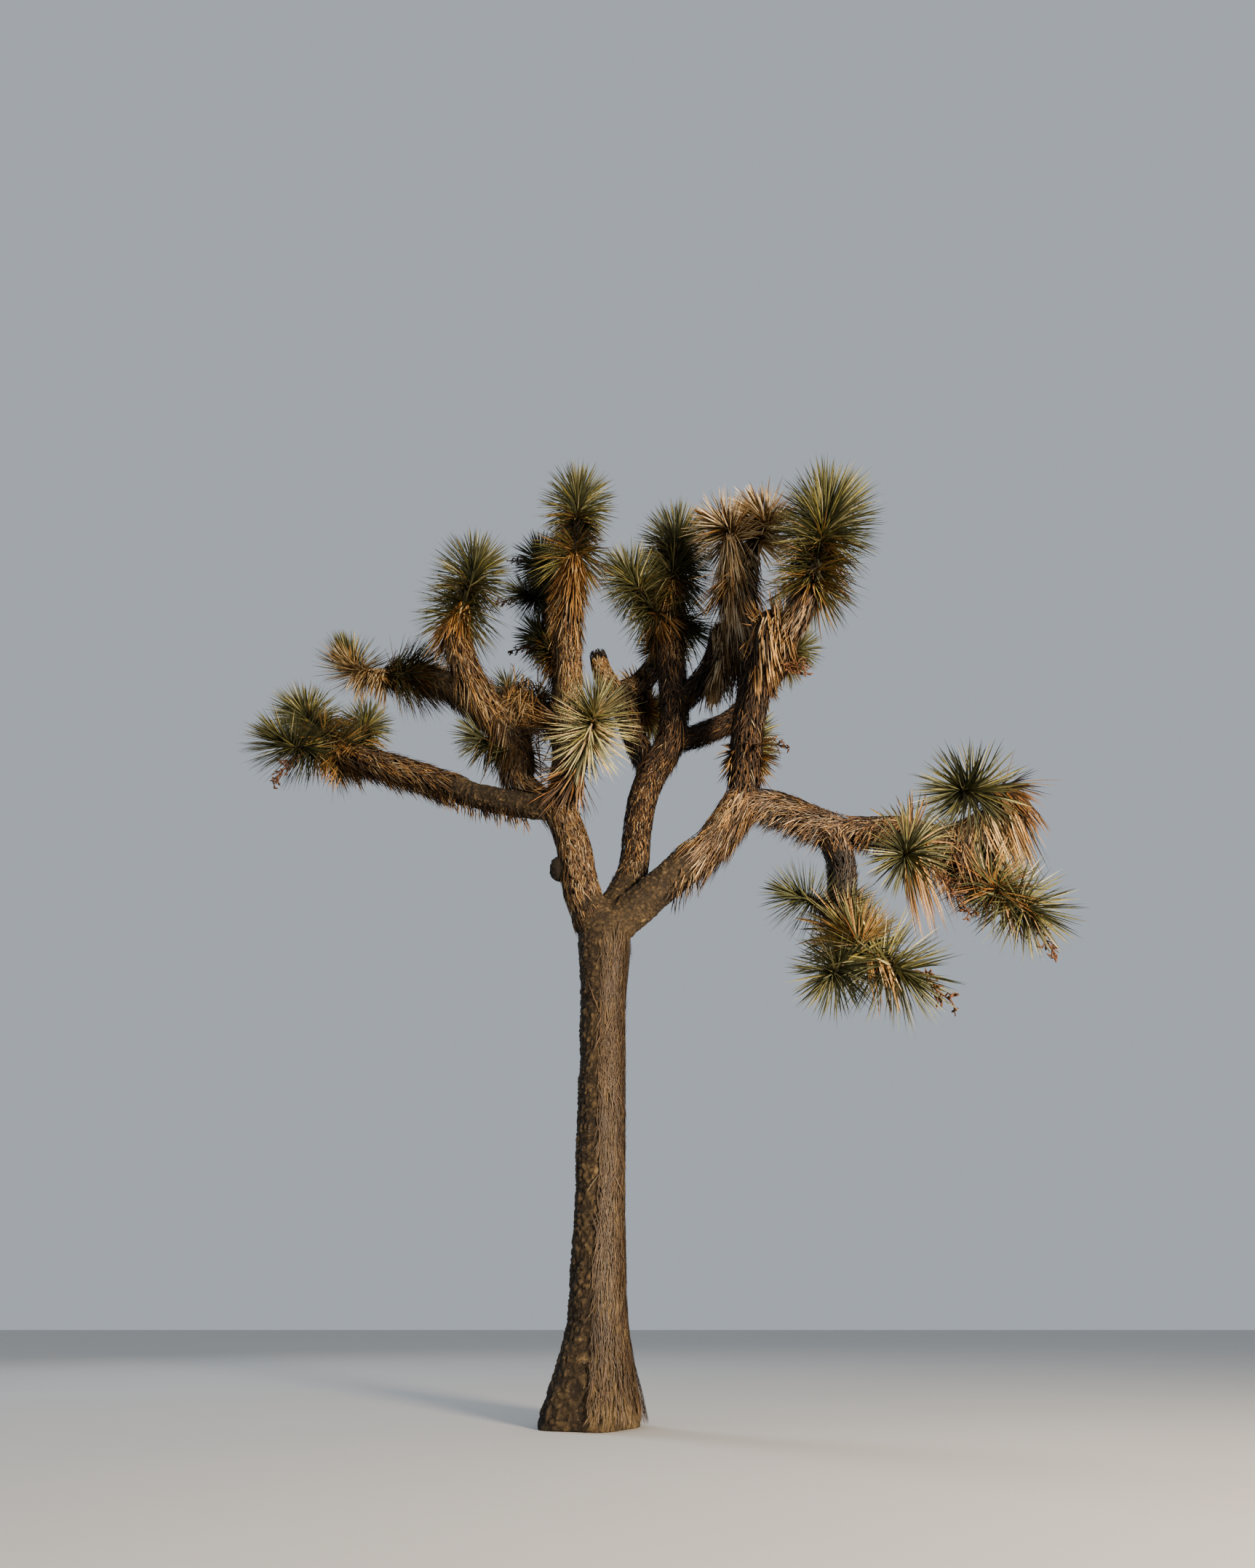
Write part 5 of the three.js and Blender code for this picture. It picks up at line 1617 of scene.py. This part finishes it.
def multiplied(tree, colour, shade):
    """A colour, as numbers or as a link, times a linked shade."""
    node = tree.nodes.new("ShaderNodeMix")
    node.data_type = "RGBA"
    node.blend_type = "MULTIPLY"
    node.inputs[0].default_value = 1.0
    if isinstance(colour, tuple):
        node.inputs[6].default_value = (*colour, 1)
    else:
        tree.links.new(colour, node.inputs[6])
    tree.links.new(shade, node.inputs[7])
    return node.outputs[2]


def bump(tree, shader, height, distance, strength):
    node = tree.nodes.new("ShaderNodeBump")
    node.inputs["Distance"].default_value = distance
    node.inputs["Strength"].default_value = strength
    tree.links.new(height, node.inputs["Height"])
    tree.links.new(node.outputs["Normal"], shader.inputs["Normal"])


def leaf_look(name, colour, roughness):
    """One tone of leaf: its colour drifts in patches over the crown and in streaks on the leaf."""
    look, tree, shader = new_look(name, roughness)
    for scale, stops in LEAF_DRIFTS:
        colour = multiplied(tree, colour, ramp(tree, noise(tree, scale), stops))
    tree.links.new(colour, shader.inputs["Base Color"])
    bump(tree, shader, noise(tree, LEAF_GRAIN), **LEAF_BUMP)
    return look


def bark_look():
    """Brown bark in patches, darker in its cracks and paler on its plates, partly its own colour and partly
    painted shade and painted light, darker on the knob as painted shade, with specks over it.
    """
    look, tree, shader = new_look("bark", BARK_ROUGHNESS)
    relief = tree.nodes.new("ShaderNodeAttribute")
    relief.attribute_name = "relief"
    lit = tree.nodes.new("ShaderNodeMapRange")
    lit.inputs["From Min"].default_value, lit.inputs["From Max"].default_value = BARK_HEIGHTS
    tree.links.new(relief.outputs["Fac"], lit.inputs["Value"])
    browns = ramp(tree, noise(tree, *BARK_BROWN_NOISE), BARK_BROWNS)
    toned = multiplied(tree, browns, ramp(tree, lit.outputs["Result"], BARK_DEPTHS))
    toned = multiplied(tree, toned, ramp(tree, noise(tree, *BARK_SPECK_NOISE), BARK_SPECKS))
    tree.links.new(toned, shader.inputs["Base Color"])
    bump(tree, shader, noise(tree, *BARK_GRAIN_NOISE), **BARK_BUMP)
    return look


def floor_look():
    look, tree, shader = new_look("floor", FLOOR_ROUGHNESS)
    darker = tuple(FLOOR_DARKER * part for part in FLOOR_COLOUR)
    tones = ramp(tree, noise(tree, *FLOOR_NOISE), [(0.3, darker), (0.7, FLOOR_COLOUR)])
    tree.links.new(tones, shader.inputs["Base Color"])
    return look


def own(piece, nodes):
    """Puts a piece on the tree's body and hides the CAD nodes that it stands for."""
    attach(piece, "root")
    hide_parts(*nodes)


def area_light(name, place, aim, size, power, colour):
    data = bpy.data.lights.new(name, "AREA")
    data.shape = "DISK"
    data.size = size
    data.energy = power
    data.color = colour
    light = bpy.data.objects.new(name, data)
    bpy.context.scene.collection.objects.link(light)
    light.location = place
    light.rotation_euler = (Vector(aim) - Vector(place)).to_track_quat("-Z", "Y").to_euler()


def set_stage():
    """A pale floor, a pale room, and soft light."""
    size = FLOOR_SIZE / 2
    corners = [(-size, -size, 0), (size, -size, 0), (size, size, 0), (-size, size, 0)]
    floor = make_mesh("floor", corners, [np.array([[0, 1, 2, 3]])], [np.zeros(1)], [floor_look()])
    floor.location.z = -FLOOR_DROP
    world = bpy.data.worlds.new("room")
    world.use_nodes = True
    background = world.node_tree.nodes["Background"]
    background.inputs["Color"].default_value = (*ROOM_COLOUR, 1)
    background.inputs["Strength"].default_value = ROOM_LIGHT
    bpy.context.scene.world = world
    area_light("key", KEY_PLACE, LIGHT_AIM, KEY_SIZE, KEY_POWER, KEY_COLOUR)
    area_light("rim", RIM_PLACE, LIGHT_AIM, RIM_SIZE, RIM_POWER, RIM_COLOUR)


def set_camera():
    data = bpy.data.cameras.new("camera")
    data.lens = CAMERA_LENS
    data.sensor_width = CAMERA_SENSOR
    data.clip_end = CAMERA_FARTHEST
    camera = bpy.data.objects.new("camera", data)
    bpy.context.scene.collection.objects.link(camera)
    camera.location = CAMERA_PLACE
    camera.rotation_euler = (math.radians(90 + CAMERA_TILT), 0, 0)
    bpy.context.scene.camera = camera


def add_head(name, limb, stops, live, dead):
    """A head's leaves: the dead ones of its skirt and curtain, and the live ones above them."""
    row = {**HEADS[name], **HEAD_NOTES.get(name, {})}
    rng = seeded(name)
    if "curtain" in row:
        add_curtain(row["curtain"], limb, stops, dead, seeded("curtain " + name))
    if "hanging" in row:
        add_hanging(row, limb, stops, dead, rng)
        return
    straw = name in STRAW_HEADS
    kind = STRAW_HEAD if straw else LIVE_HEAD
    for add, blades in ((add_crown, live), (add_whorl, live), (add_ruff, dead), (add_skirt, dead)):
        add(row, kind, limb, stops, dead if straw else blades, rng)


def main():
    limbs = lay_out_limbs()
    stops = Stops(limbs, STOP_STEP)
    looks = [leaf_look(name, colour, LEAF_ROUGHNESS) for name, colour in TONE_COLOURS.items()]
    trunk, crown = make_wood(limbs, stops, bark_look())
    own(trunk[0], ["trunk", *FORK_SHARES])
    own(crown[0], [*BOUGHS, *HEADS])

    scales = Blades(SCALE_SHAPE, SCALE_FOLD)
    for (piece, points, quads), share in zip((trunk, crown), SCALE_SHARES):
        add_scales(scales, points, quads, round(SCALES * share), stops, seeded(piece.name))
    own(scales.make("bark_scales", looks), ["trunk", "bough_stub", *FORK_SHARES])
    shreds = Blades(STRIP_SHAPE, STRIP_FOLD)
    add_shreds(shreds, seeded("shreds"))
    own(shreds.make("trunk_fibres", looks), ["trunk"])

    for side in ("left", "middle", "right"):
        heads = [name for name in HEADS if main_of(name) == side]
        boughs = [name for name in BOUGHS if main_of(name) == side]
        live, dead, thatch = (Blades(shape, LEAF_FOLD) for shape in (LIVE_SHAPE, DEAD_SHAPE, THATCH_SHAPE))
        for name in heads:
            add_head(name, limbs[name], stops, live, dead)
        for name in boughs:
            add_thatch(thatch_of(name), limbs[name], stops, thatch, seeded(name))
            if name in TUFTS:
                add_tuft(TUFTS[name], stops, dead, seeded("tuft " + name))
        alive = [name for name in heads if name not in STRAW_HEADS]
        own(live.make(f"live_leaves_{side}", looks), alive)
        own(dead.make(f"dead_leaves_{side}", looks), heads)
        own(thatch.make(f"thatch_{side}", looks), boughs)

    stalks = Tubes(STALK_SIDES)
    for name, row in STALKS.items():
        add_stalk(row, limbs[name], stalks, seeded("stalk " + name))
    stalk_look = leaf_look("stalk", STALK_COLOUR, STALK_ROUGHNESS)
    own(stalks.make("flower_stalks", [stalk_look]), list(STALKS))

    set_stage()
    set_camera()
    bpy.context.scene.view_settings.look = "AgX - Medium High Contrast"


main()
